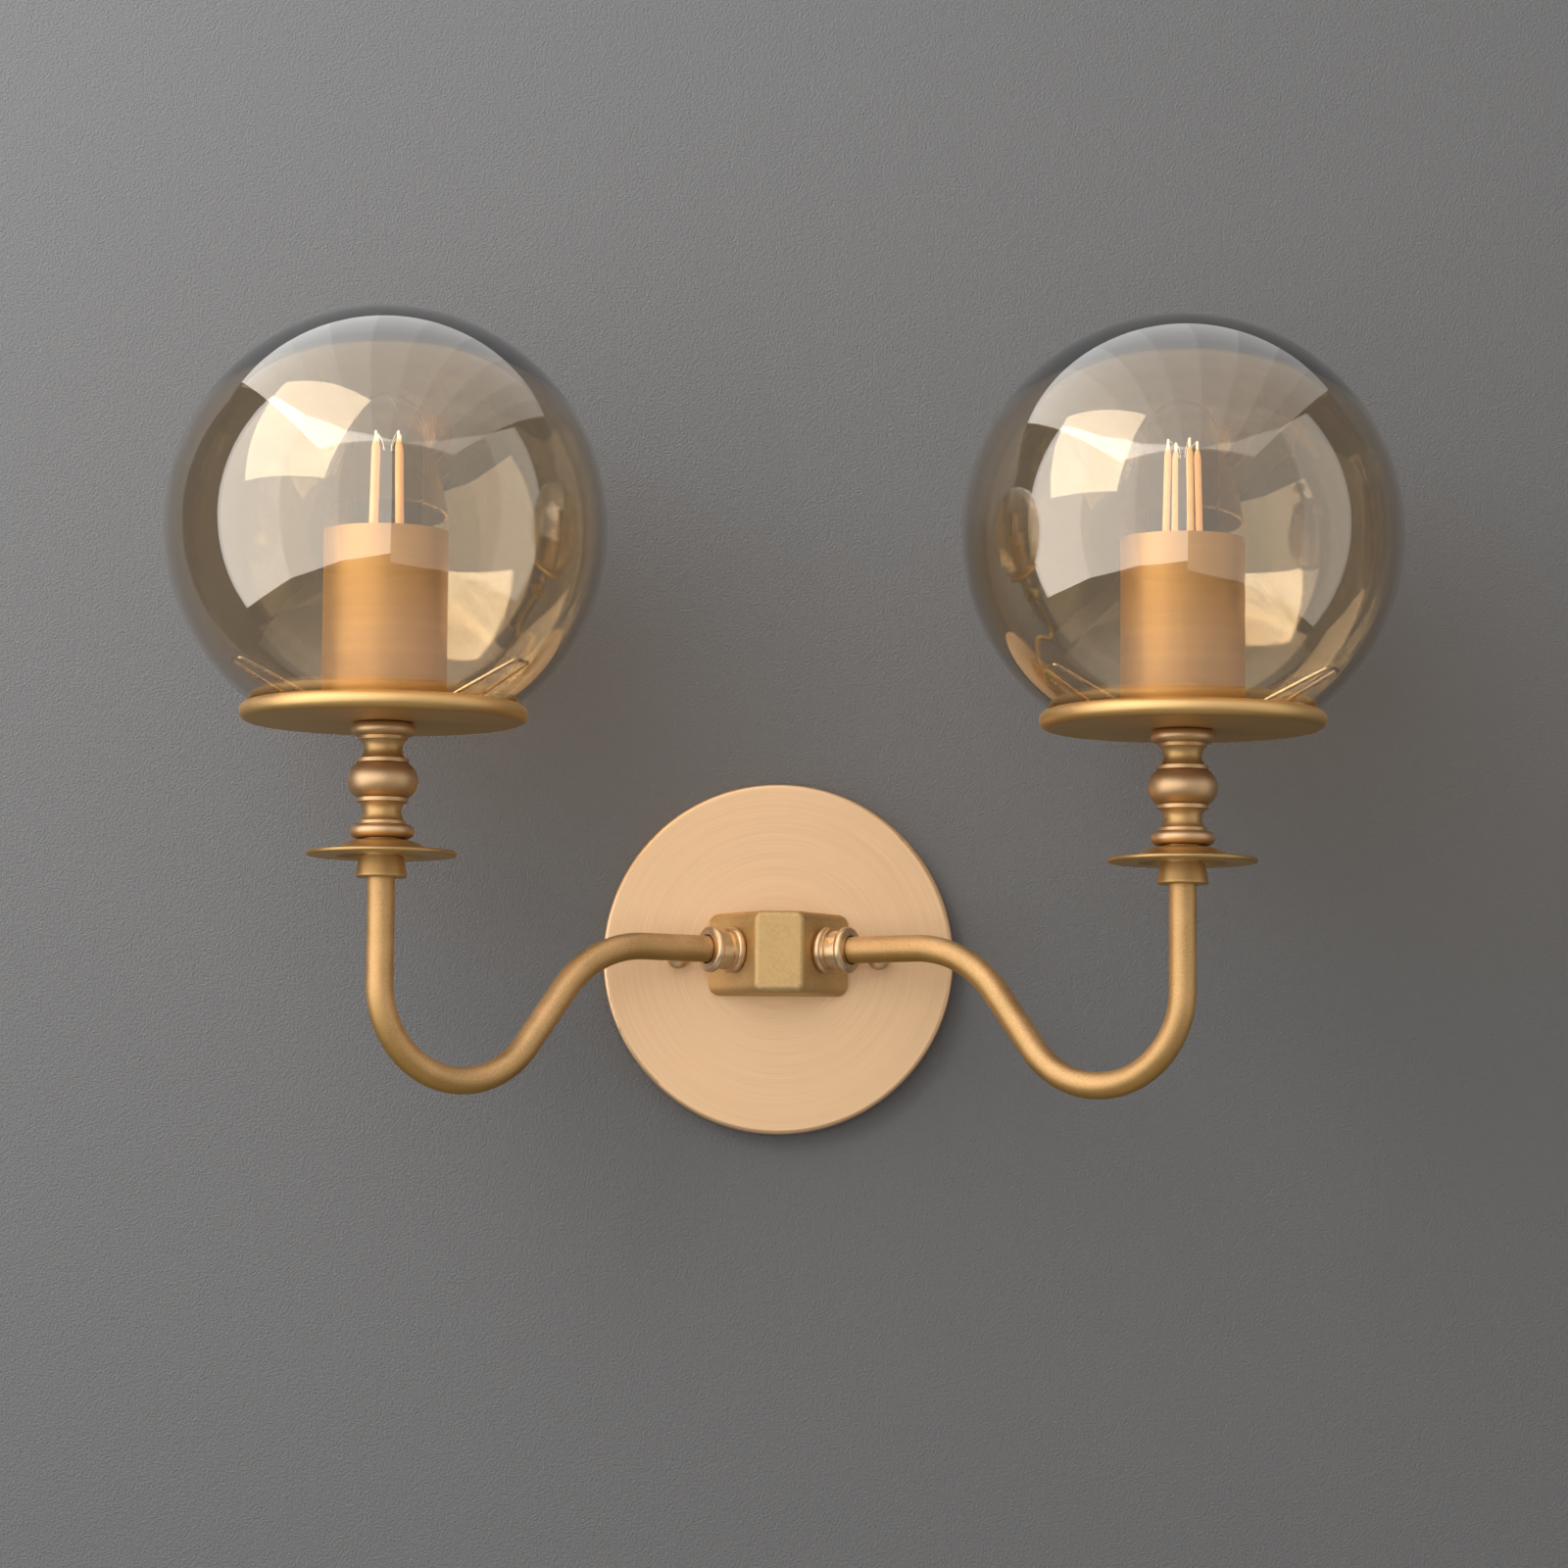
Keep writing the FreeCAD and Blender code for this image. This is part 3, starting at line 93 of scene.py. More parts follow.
class Finish:
    # a material and its node tree
    def __init__(self, name):
        self.material = bpy.data.materials.new(name)
        self.material.use_nodes = True
        self.tree = self.material.node_tree
        self.tree.nodes.clear()

    def add(self, kind, settings=None, inputs=None, output=0):
        node = self.tree.nodes.new(kind)
        for name, value in (settings or {}).items():
            setattr(node, name, value)
        for key, value in (inputs or {}).items():
            if isinstance(value, Reading):
                self.tree.links.new(value.socket, node.inputs[key])
            else:
                node.inputs[key].default_value = value
        return Reading(self, node.outputs[output])

    def place(self):
        return self.add("ShaderNodeTexCoord", output="Object")

    def split(self, vector):
        node = self.add("ShaderNodeSeparateXYZ", inputs={0: vector}).socket.node
        return [Reading(self, socket) for socket in node.outputs]

    def join(self, x, y, z):
        return self.add("ShaderNodeCombineXYZ", inputs={0: x, 1: y, 2: z})

    def noise(self, where, scale, detail, roughness=0.5):
        inputs = {"Vector": where, "Scale": scale, "Detail": detail, "Roughness": roughness}
        return self.add("ShaderNodeTexNoise", {"noise_dimensions": "3D"}, inputs)

    def spread(self, value, low, high, newLow=0.0, newHigh=1.0):
        inputs = {"Value": value, 1: low, 2: high, 3: newLow, 4: newHigh}
        return self.add("ShaderNodeMapRange", inputs=inputs)

    def blend(self, factor, first, second):
        inputs = {"Factor": factor, 6: colour(first), 7: colour(second)}
        return self.add("ShaderNodeMix", {"data_type": "RGBA"}, inputs, output=2)

    def bump(self, height, distance, strength=1.0):
        inputs = {"Height": height, "Distance": distance, "Strength": strength}
        return self.add("ShaderNodeBump", inputs=inputs)

    def reach(self, first, second, centre):
        # how far a point lies from an axis, from its two coordinates across that axis
        across = first - centre[0]
        along = second - centre[1]
        return (across * across + along * along) ** 0.5

    def underside(self, base, darkerTone, share):
        # painted shade: the colour darkens towards the darker tone where a piece faces down, as if less light
        # fell there
        down = self.split(self.add("ShaderNodeTexCoord", output="Normal"))[2]
        return self.blend(self.spread(down, 0.25, -0.75) * share, base, darkerTone)

    def principled(self, inputs):
        return self.add("ShaderNodeBsdfPrincipled", inputs=inputs)

    def end(self, shader, inside=None):
        output = self.tree.nodes.new("ShaderNodeOutputMaterial")
        self.tree.links.new(shader.socket, output.inputs["Surface"])
        if inside:
            self.tree.links.new(inside.socket, output.inputs["Volume"])
        return self.material


def colour(value):
    return value if isinstance(value, Reading) else (*value, 1)


def shade(tone, amount):
    return tuple(min(1, part * amount) for part in tone)


def spunBrass():
    # backplate: brushed on a lathe, so every line runs round the centre
    look = {
        "dark": (0.64, 0.425, 0.245), "light": (0.82, 0.55, 0.33), "rough": 0.42,
        "lines": 4600, "passes": 2300, "bands": 420, "clouds": 60, "grain": 300,
        "depth": 0.00005, "edge": (0.0605, 0.0635),
    }
    finish = Finish("spunBrass")
    x, y, z = finish.split(finish.place())
    reach = finish.reach(x, z, (0, 0))
    turn = finish.add("ShaderNodeMath", {"operation": "ARCTAN2"}, {0: z, 1: x})
    lines = finish.noise(finish.join(reach * look["lines"], turn * 1.6, y * look["grain"]), 1, 3, 0.7)
    passes = finish.noise(finish.join(reach * look["passes"], turn * 0.9, 0), 1, 2, 0.6)
    bands = finish.noise(finish.join(reach * look["bands"], turn * 0.4, 0), 1, 2)
    cloud = finish.noise(finish.place(), look["clouds"], 3)
    # painted highlight: the plate is lighter towards its outer edge
    edge = finish.spread(reach, *look["edge"])
    tone = finish.spread(lines * 0.32 + passes * 0.38 + bands * 0.15 + cloud * 0.15, 0.3, 0.7)
    base = finish.blend(tone, look["dark"], look["light"])
    rough = look["rough"]
    return finish.end(finish.principled({
        "Base Color": finish.blend(edge * 0.35, base, shade(look["light"], 1.1)),
        "Metallic": 1.0,
        "Roughness": finish.spread(lines + cloud * 0.5, 0.4, 1.1, rough - 0.05, rough + 0.08),
        "Normal": finish.bump(lines * 0.6 + passes * 0.4, look["depth"], 0.8),
        "Coat Weight": 0.04,
        "Coat Roughness": 0.35,
    }))


# wander says how far the cloud shifts the border of a groove, rim or edge
lathe = {
    "lines": 6500, "bands": 500, "clouds": 90, "depth": 0.000012,
    "wander": {"groove": 0.0015, "rim": 0.0006, "edge": 0.0004},
    "bright": 1.30, "brightShare": 0.55, "dull": 0.60, "dullShare": 0.75, "underShare": 0.8,
}


def turnedBrass(name, centre, look):
    # lathe work: fine tool lines round the lamp's axis, patina left in a groove, a rim lighter for wear and a
    # painted highlight, an outer edge made darker, and painted shade where a piece faces down
    finish = Finish(name)
    x, y, z = finish.split(finish.place())
    reach = finish.reach(x, y, centre)
    lines = finish.noise(finish.join(reach * lathe["lines"], z * lathe["lines"], 0), 1, 2, 0.6)
    bands = finish.noise(finish.join(reach * lathe["bands"], z * lathe["bands"], 0), 1, 2)
    cloud = finish.noise(finish.place(), lathe["clouds"], 3)
    share = finish.spread(lines * 0.4 + bands * 0.3 + cloud * 0.3, 0.32, 0.68)
    tone, rough = look["tone"], look["rough"]
    base = finish.blend(share, shade(tone, 0.86), shade(tone, 1.10))
    if "groove" in look:
        worn = finish.spread(reach + cloud * lathe["wander"]["groove"], *look["groove"])
        base = finish.blend(1 - worn, base, look["darkerTone"])
    # rim: lighter for wear, together with a painted highlight along it
    if "rim" in look:
        rubbedAndHighlit = finish.spread(reach + cloud * lathe["wander"]["rim"], *look["rim"])
        base = finish.blend(rubbedAndHighlit * lathe["brightShare"], base, shade(tone, lathe["bright"]))
    # darker towards the outer edge
    if "edge" in look:
        outerEdgeDarkening = finish.spread(reach + cloud * lathe["wander"]["edge"], *look["edge"])
        base = finish.blend(outerEdgeDarkening * lathe["dullShare"], base, shade(tone, lathe["dull"]))
    # painted shade on the downward faces
    base = finish.underside(base, look["under"], lathe["underShare"])
    return finish.end(finish.principled({
        "Base Color": base,
        "Metallic": 1.0,
        "Roughness": finish.spread(lines + cloud, 0.6, 1.4, rough - 0.05, rough + 0.06),
        "Normal": finish.bump(lines, lathe["depth"], 0.7),
        "Coat Weight": 0.03,
        "Coat Roughness": 0.3,
    }))


def satinBrass():
    # bent tube: rubbed satin, with a fine even tooth
    look = {
        "dark": (0.54, 0.34, 0.155), "light": (0.79, 0.505, 0.25), "under": (0.41, 0.235, 0.05),
        "rough": 0.54, "tooth": 2000, "clouds": 70, "depth": 0.00004,
    }
    finish = Finish("satinBrass")
    tooth = finish.noise(finish.place(), look["tooth"], 3, 0.65)
    cloud = finish.noise(finish.place(), look["clouds"], 3)
    share = finish.spread(tooth * 0.6 + cloud * 0.4, 0.38, 0.62)
    rough = look["rough"]
    base = finish.blend(share, look["dark"], look["light"])
    return finish.end(finish.principled({
        # painted shade on the tube's underside
        "Base Color": finish.underside(base, look["under"], 0.85),
        "Metallic": 1.0,
        "Roughness": finish.spread(tooth + cloud, 0.7, 1.3, rough - 0.05, rough + 0.07),
        "Normal": finish.bump(tooth, look["depth"], 0.8),
        "Coat Weight": 0.03,
        "Coat Roughness": 0.35,
    }))


def castBrass():
    # cast block: the grain of the mould shows through the satin finish
    look = {
        "dark": (0.53, 0.36, 0.155), "light": (0.71, 0.49, 0.24), "rough": 0.56,
        "grain": 2100, "pits": 900, "clouds": 110, "depth": 0.00012,
    }
    finish = Finish("castBrass")
    grain = finish.noise(finish.place(), look["grain"], 4, 0.65)
    pits = finish.noise(finish.place(), look["pits"], 2)
    cloud = finish.noise(finish.place(), look["clouds"], 3)
    share = finish.spread(grain * 0.45 + cloud * 0.3 + pits * 0.25, 0.36, 0.64)
    rough = look["rough"]
    return finish.end(finish.principled({
        "Base Color": finish.blend(share, look["dark"], look["light"]),
        "Metallic": 1.0,
        "Roughness": finish.spread(grain + cloud, 0.7, 1.3, rough - 0.06, rough + 0.08),
        "Normal": finish.bump(grain * 0.6 + pits * 0.4, look["depth"], 0.8),
        "Coat Weight": 0.03,
        "Coat Roughness": 0.4,
    }))


blow = {
    "ripples": 26, "rippleDepth": 0.0004, "drift": 9, "tones": ((0.97, 0.96, 0.95), (1, 1, 1)),
    "coatBend": 1.85,
}


def blownGlass(name, look):
    # faint ripples; the tint is in the wall itself, so it deepens towards the limb; the light of a lamp
    # passes straight through, so that it reaches what is inside
    finish = Finish(name)
    ripple = finish.noise(finish.place(), blow["ripples"], 2)
    drift = finish.spread(finish.noise(finish.place(), blow["drift"], 2), 0.3, 0.7)
    glass = finish.principled({
        "Base Color": finish.blend(drift, *blow["tones"]),
        "Roughness": 0.0,
        "IOR": look["bend"],
        "Transmission Weight": 1.0,
        "Coat Weight": look["coat"],
        "Coat Roughness": 0.0,
        "Coat IOR": blow["coatBend"],
        "Normal": finish.bump(ripple, blow["rippleDepth"], 0.3),
    })
    lampRay = finish.add("ShaderNodeLightPath", output="Is Shadow Ray")
    clear = finish.add("ShaderNodeBsdfTransparent", inputs={"Color": colour(look["passed"])})
    both = finish.add("ShaderNodeMixShader", inputs={0: lampRay, 1: glass, 2: clear})
    if "smoke" not in look:
        return finish.end(both)
    tone = {"Color": colour(look["smoke"]), "Density": look["density"]}
    return finish.end(both, finish.add("ShaderNodeVolumeAbsorption", inputs=tone))


plating = {"clouds": 420, "scratches": 260, "stretch": (1, 14, 14), "depth": 0.00002}


def platedMetal(name, tone, rough):
    finish = Finish(name)
    cloud = finish.noise(finish.place(), plating["clouds"], 4, 0.6)
    stretched = finish.add("ShaderNodeMapping", inputs={0: finish.place(), "Scale": plating["stretch"]})
    scratch = finish.noise(stretched, plating["scratches"], 3, 0.6)
    share = finish.spread(cloud * 0.6 + scratch * 0.4, 0.34, 0.66)
    return finish.end(finish.principled({
        "Base Color": finish.blend(share, shade(tone, 0.78), tone),
        "Metallic": 1.0,
        "Roughness": finish.spread(cloud + scratch, 0.7, 1.3, rough - 0.06, rough + 0.1),
        "Normal": finish.bump(scratch, plating["depth"], 0.6),
    }))


moulding = {"grain": 1900, "clouds": 160, "depth": 0.00002}


# glow is painted light: an emission on a part that is no lamp
def moulded(name, tone, rough, glow=0.0):
    finish = Finish(name)
    grain = finish.noise(finish.place(), moulding["grain"], 3, 0.6)
    cloud = finish.noise(finish.place(), moulding["clouds"], 2)
    share = finish.spread(cloud * 0.7 + grain * 0.3, 0.35, 0.65)
    return finish.end(finish.principled({
        "Base Color": finish.blend(share, shade(tone, 0.84), tone),
        "Roughness": finish.spread(grain, 0.3, 0.7, rough - 0.05, rough + 0.07),
        "Normal": finish.bump(grain, moulding["depth"], 0.6),
        "Emission Color": colour(tone),
        "Emission Strength": glow,
    }))


def leadSleeve():
    # pale sleeve; the ends by the wall are cut, and show a copper core
    look = {
        "sleeve": (0.74, 0.71, 0.62), "copper": (0.80, 0.40, 0.22), "core": 0.0008,
        "axis": (0.0014, 0.002), "cutAt": -0.00152, "clouds": 240, "strands": 3000, "depth": 0.0002,
    }
    finish = Finish("leadSleeve")
    x, y, z = finish.split(finish.place())
    side = finish.add("ShaderNodeMath", {"operation": "ABSOLUTE"}, {0: x})
    reach = finish.reach(side, z, look["axis"])
    core = finish.add("ShaderNodeMath", {"operation": "LESS_THAN"}, {0: reach, 1: look["core"]})
    cut = finish.add("ShaderNodeMath", {"operation": "GREATER_THAN"}, {0: y, 1: look["cutAt"]})
    bare = core * cut
    cloud = finish.noise(finish.place(), look["clouds"], 2)
    strands = finish.noise(finish.place(), look["strands"], 1)
    sleeve = finish.blend(cloud, shade(look["sleeve"], 0.9), look["sleeve"])
    return finish.end(finish.principled({
        "Base Color": finish.blend(bare, sleeve, look["copper"]),
        "Metallic": bare,
        "Roughness": finish.spread(cloud, 0.3, 0.7, 0.36, 0.46),
        "Normal": finish.bump(strands * bare, look["depth"], 0.8),
    }))


glassLooks = {
    "amber": {"smoke": (0.76, 0.585, 0.26), "density": 310, "passed": (0.96, 0.96, 0.96),
              "bend": 1.56, "coat": 1.0},
    "clear": {"passed": (0.98, 0.98, 0.98), "bend": 1.05, "coat": 0.0},
}
# under gives the colour of the painted shade on downward faces
turnedLooks = {
    "Turned": {"tone": (0.70, 0.475, 0.285), "under": (0.48, 0.30, 0.12), "rough": 0.46,
               "groove": (0.0070, 0.0102), "darkerTone": (0.56, 0.355, 0.14)},
    "Saucer": {"tone": (0.72, 0.465, 0.20), "under": (0.46, 0.28, 0.09), "rough": 0.46,
               "rim": (0.0234, 0.0244), "edge": (0.0249, 0.0256)},
    "Dish": {"tone": (0.74, 0.495, 0.225), "under": (0.44, 0.265, 0.08), "rough": 0.50,
             "rim": (0.0476, 0.0494)},
    "Cup": {"tone": (0.80, 0.545, 0.275), "under": (0.6, 0.4, 0.2), "rough": 0.54},
}
finishes = {
    "spun": spunBrass(),
    "satin": satinBrass(),
    "cast": castBrass(),
    "amber": blownGlass("amberGlass", glassLooks["amber"]),
    "clear": blownGlass("clearGlass", glassLooks["clear"]),
    "zinc": platedMetal("zincSteel", (0.62, 0.62, 0.60), 0.34),
    "spring": platedMetal("springWire", (0.92, 0.85, 0.72), 0.24),
    "contact": platedMetal("contactBrass", (0.72, 0.56, 0.28), 0.3),
    "cap": platedMetal("capMetal", (0.78, 0.66, 0.42), 0.28),
    # painted glow: the tips shine though they are no lamp
    "tip": moulded("weldedTipPaintedGlow", (0.97, 0.95, 0.92), 0.35, 0.75),
    "green": moulded("greenScrew", (0.03, 0.17, 0.05), 0.35),
    "ring": platedMetal("polishedRing", (0.84, 0.60, 0.36), 0.34),
    "nut": platedMetal("polishedNut", (0.50, 0.32, 0.085), 0.22),
    "black": moulded("socketMoulding", (0.022, 0.020, 0.018), 0.38),
    "vitrite": moulded("capInsulator", (0.012, 0.012, 0.016), 0.15),
    "sleeve": leadSleeve(),
    # painted glow on the filament sticks
    "filament": moulded("filamentCoatingPaintedGlow", (0.96, 0.57, 0.31), 0.45, 0.52),
}
for side in sides:
    for name, look in turnedLooks.items():
        finishes[side + name] = turnedBrass(side + name + "Brass", lampAxis[side].xy, look)
print("finishes made,", len(finishes))


# CAD pieces that keep their own shape, and the finish that each gets
wallSide = {
    "backplate": "spun", "cast_body": "cast", "crossbar": "zinc", "crossbar_studs": "zinc",
    "stud_nuts": "nut", "ground_screw": "green", "body_nipple": "zinc", "nipple_washer": "zinc",
    "nipple_nut": "zinc",
}
lampSide = {
    "arm": "satin", "arm_collar": "ring", "ball_nut": "ring", "lead": "sleeve", "lamp_nipple": "zinc",
    "socket_nut": "zinc", "socket_body": "black", "socket_shell": "contact", "socket_contact": "contact",
    "clip_back": "spring", "clip_front_left": "spring", "clip_front_right": "spring",
    "bulb_cap": "cap", "bulb_insulator": "vitrite", "bulb_contact": "contact", "bulb_glass": "clear",
    "bulb_stem": "clear", "bulb_filaments": "filament", "globe": "amber",
    "stem_collar": "Saucer", "bobeche": "Saucer", "spindle": "Turned",
    "globe_plate": "Dish", "clip_carrier": "Dish", "socket_cup": "Cup",
}


def dress(node, finish):
    for slot in nodes[node].material_slots:
        slot.material = finishes[finish]


for node, finish in wallSide.items():
    dress(node, finish)
for side in sides:
    for node, finish in lampSide.items():
        own = side + finish if side + finish in finishes else finish
        dress("%s_%s" % (side, node), own)
print("CAD pieces dressed")


def sideways(along):
    # two directions across a heading
    spare = Vector((1, 0, 0)) if abs(along.x) < 0.7 else Vector((0, 1, 0))
    first = along.cross(spare).normalized()
    return first, along.cross(first)


def ringAt(mesh, centre, across, over, radius, segments):
    # a radius may be a function of the turn
    ring = []
    for i in range(segments):
        turn = fullTurn * i / segments
        size = radius(turn) if callable(radius) else radius
        ring.append(mesh.verts.new(centre + (across * math.cos(turn) + over * math.sin(turn)) * size))
    return ring


def bridge(mesh, first, second, slot=0):
    count = len(first)
    for i in range(count):
        after = (i + 1) % count
        face = mesh.faces.new((first[i], first[after], second[after], second[i]))
        face.material_index = slot
        face.smooth = True


def rod(mesh, start, along, profile, segments, slot=0, bore=0.0):
    # turned rod from (distance, radius) pairs
    across, over = sideways(along)
    if bore:
        profile = [(profile[0][0], bore)] + profile + [(profile[-1][0], bore)]
    rings = []
    for distance, radius in profile:
        rings.append(ringAt(mesh, start + along * distance, across, over, radius, segments))
    for first, second in zip(rings, rings[1:]):
        bridge(mesh, first, second, slot)
    if bore:
        bridge(mesh, rings[-1], rings[0], slot)
    else:
        for ring in (rings[0], rings[-1]):
            mesh.faces.new(ring).material_index = slot


def wire(mesh, points, radius, segments, slot):
    # thin wire through points, with a ring at each
    rings = []
    across = None
    for i, point in enumerate(points):
        along = (points[min(i + 1, len(points) - 1)] - points[max(i - 1, 0)]).normalized()
        across = sideways(along)[0] if across is None else (across - along * across.dot(along)).normalized()
        rings.append(ringAt(mesh, point, across, along.cross(across), radius, segments))
    for first, second in zip(rings, rings[1:]):
        bridge(mesh, first, second, slot)
    for ring in (rings[0], rings[-1]):
        mesh.faces.new(ring).material_index = slot


crease = math.radians(38)


def piece(name, mesh, materials, body, replaced):
    bmesh.ops.recalc_face_normals(mesh, faces=mesh.faces)
    data = bpy.data.meshes.new(name)
    mesh.to_mesh(data)
    mesh.free()
    data.set_sharp_from_angle(angle=crease)
    for material in materials:
        data.materials.append(finishes[material])
    made = bpy.data.objects.new(name, data)
    bpy.context.collection.objects.link(made)
    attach(made, body)
    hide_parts(replaced)


# bulb filaments: coated sticks that taper to wires, tied to the glass stem; sticks and wires carry a painted
# glow, though they are no lamp
filament = {
    "count": 4, "turn": {"left": 45.0, "right": 19.4}, "circle": 6.0, "lean": 1.0, "length": 38.0,
    "radius": 1.2, "heel": [(0.2, 0.62), (1.2, 0.90), (2.4, 1.0)],
    "taper": 2.8, "taperSteps": 5, "shoulder": 0.62, "weld": 0.25,
    "bareTip": 3.4, "tipRadius": 0.46, "tipRound": 0.2, "stickSides": 20, "tipSides": 12,
}
# the wires that tie a stick to the stem; each bow says how far it goes up and out
tie = {
    "radius": 0.09, "sides": 8, "steps": 6, "stemReach": 1.55,
    "topDrop": 0.4, "hookDrop": 6.2, "topBow": (0.9, -0.4),
    "heelRise": 0.8, "lowRise": 1.0, "heelBow": (-0.3, 0.0),
}
coated, bare = 0, 1  # places in the piece's list of materials


def bow(first, last, sag):
    points = []
    for i in range(tie["steps"] + 1):
        part = i / tie["steps"]
        points.append(first.lerp(last, part) + sag * (4 * part * (1 - part)))
    return points


def sagOf(amounts, outward):
    up, out = amounts
    return (Vector((0, 0, up)) + outward * out) * millimetre


def leaning(foot, outward):
    # where a stick starts, where it heads and how long it is
    length = filament["length"] * millimetre
    rise = (Vector((0, 0, length)) - outward * (filament["lean"] * millimetre)).normalized()
    start = foot + outward * ((filament["circle"] + filament["lean"] / 2) * millimetre)
    return start, rise, length


def stick(mesh, foot, outward):
    look = filament
    start, rise, length = leaning(foot, outward)
    radius = look["radius"] * millimetre
    tip = look["tipRadius"] * millimetre
    shoulder = length - (look["taper"] + look["bareTip"]) * millimetre
    neck = length - look["bareTip"] * millimetre
    profile = [(0.0, tip)]
    profile += [(height * millimetre, radius * share) for height, share in look["heel"]]
    profile.append((shoulder, radius))
    for i in range(1, look["taperSteps"] + 1):
        part = i / look["taperSteps"]
        narrowed = radius * (1 - (1 - look["shoulder"]) * part ** 1.5)
        profile.append((shoulder + (neck - shoulder) * part, narrowed))
    profile.append((neck + look["weld"] * millimetre, tip))
    rod(mesh, start, rise, profile, look["stickSides"], coated)
    rounded = length - look["tipRound"] * millimetre
    rod(mesh, start, rise, [(neck, tip), (rounded, tip), (length, tip * 0.5)], look["tipSides"], bare)


def ties(mesh, foot, outward):
    start, rise, length = leaning(foot, outward)
    stem = foot + outward * (tie["stemReach"] * millimetre)
    top = start + rise * (length - tie["topDrop"] * millimetre)
    hook = stem + Vector((0, 0, length - tie["hookDrop"] * millimetre))
    heel = start + rise * (tie["heelRise"] * millimetre)
    low = stem + Vector((0, 0, tie["lowRise"] * millimetre))
    for first, last, amounts in ((top, hook, tie["topBow"]), (heel, low, tie["heelBow"])):
        points = bow(first, last, sagOf(amounts, outward))
        wire(mesh, points, tie["radius"] * millimetre, tie["sides"], bare)


for side in sides:
    node = side + "_bulb_filaments"
    low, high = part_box(node)
    mesh = bmesh.new()
    foot = Vector((lampAxis[side].x, lampAxis[side].y, low[2]))
    for number in range(filament["count"]):
        turn = math.radians(filament["turn"][side]) + fullTurn * number / filament["count"]
        outward = Vector((math.cos(turn), math.sin(turn), 0))
        stick(mesh, foot, outward)
        ties(mesh, foot, outward)
    piece(side + "_filament_sticks", mesh, ["filament", "tip"], side + "_bulb_body", node)
print("filaments made")


# globes: blown, so the wall thickens towards the crown, and the mouth's edge is fire polished
blown = {
    "wall": 2.2, "crown": 6.4, "spread": 58.0, "rings": 72, "segments": 160,
    "lip": 0.8, "lipOuter": [(-0.55, 0.30), (-1.4, 0.0)], "lipInner": [(1.0, 0.0), (0.15, 0.30)],
}
onAxis = 1e-7


def globeOutline(radius, drop):
    # outside from the crown to the mouth, round the lip and back up the inside
    look = blown
    lip = look["lip"] * millimetre
    wall = look["wall"] * millimetre
    outside = math.acos((lip - drop) / radius)
    inside = math.acos((lip - drop) / (radius - wall))
    points = []
    for i in range(look["rings"] + 1):
        turn = outside * i / look["rings"]
        points.append((radius * math.sin(turn), radius * math.cos(turn)))
    edge, inner = points[-1][0], (radius - wall) * math.sin(inside)
    points += [(edge + lip * out, -drop + lip * up) for out, up in look["lipOuter"]]
    points += [(inner + lip * out, -drop + lip * up) for out, up in look["lipInner"]]
    for i in range(look["rings"], -1, -1):
        turn = inside * i / look["rings"]
        near = max(0.0, 1 - turn / math.radians(look["spread"]))
        smooth = near * near * (3 - 2 * near)
        thick = wall + (look["crown"] - look["wall"]) * millimetre * smooth
        points.append(((radius - thick) * math.sin(turn), (radius - thick) * math.cos(turn)))
    return points


def spin(mesh, centre, points, segments):
    # closed shell turned about the lamp's axis; a point on the axis becomes one vertex
    rings = []
    for reach, height in points:
        spot = centre + Vector((0, 0, height))
        if reach < onAxis:
            rings.append([mesh.verts.new(spot)])
        else:
            rings.append(ringAt(mesh, spot, Vector((1, 0, 0)), Vector((0, 1, 0)), reach, segments))
    for first, second in zip(rings, rings[1:]):
        if len(first) == len(second):
            bridge(mesh, first, second)
            continue
        pole, ring = (first[0], second) if len(first) == 1 else (second[0], first)
        for i in range(segments):
            mesh.faces.new((pole, ring[i], ring[(i + 1) % segments])).smooth = True


for side in sides:
    low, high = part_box(side + "_globe")
    radius = min(high[0] - low[0], high[1] - low[1]) / 2
    centre = Vector(((low[0] + high[0]) / 2, (low[1] + high[1]) / 2, high[2] - radius))
    mesh = bmesh.new()
    spin(mesh, centre, globeOutline(radius, centre.z - low[2]), blown["segments"])
    piece(side + "_blown_globe", mesh, ["amber"], side + "_globe_body", side + "_globe")
print("globes made")


# threads: the strap's studs and the hollow thread of the cast body
thread = {
    "stud": {"pitch": 0.80, "depth": 0.42, "steps": 8, "segments": 40, "bore": 0.0},
    "nipple": {"pitch": 0.94, "depth": 0.50, "steps": 8, "segments": 56, "bore": 3.5},
}


def threadProfile(length, radius, look):
    pitch = look["pitch"] * millimetre
    depth = look["depth"] * millimetre
    count = int(length / pitch * look["steps"])
    profile = []
    for i in range(count + 1):
        distance = length * i / count
        fade = min(1.0, distance / pitch, (length - distance) / pitch)

        def size(turn, distance=distance, fade=fade):
            phase = (distance / pitch + turn / fullTurn) % 1
            cut = 1 - abs(2 * phase - 1)
            return radius - depth * (1 - fade) - depth * fade * cut

        profile.append((distance, size))
    return profile


def threadedRods(name, node, centres, look):
    low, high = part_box(node)
    radius = (high[2] - low[2]) / 2
    mesh = bmesh.new()
    for x, z in centres:
        start = Vector((x, high[1], z))
        profile = threadProfile(high[1] - low[1], radius, look)
        rod(mesh, start, Vector((0, -1, 0)), profile, look["segments"], bore=look["bore"] * millimetre)
    piece(name, mesh, ["zinc"], "fixture", node)


studLow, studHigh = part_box("crossbar_studs")
studX = studHigh[0] - (studHigh[2] - studLow[2]) / 2
threadedRods("strap_studs", "crossbar_studs", [(-studX, 0), (studX, 0)], thread["stud"])
threadedRods("hollow_thread", "body_nipple", [(bodyAxis.x, bodyAxis.z)], thread["nipple"])
print("threads made")


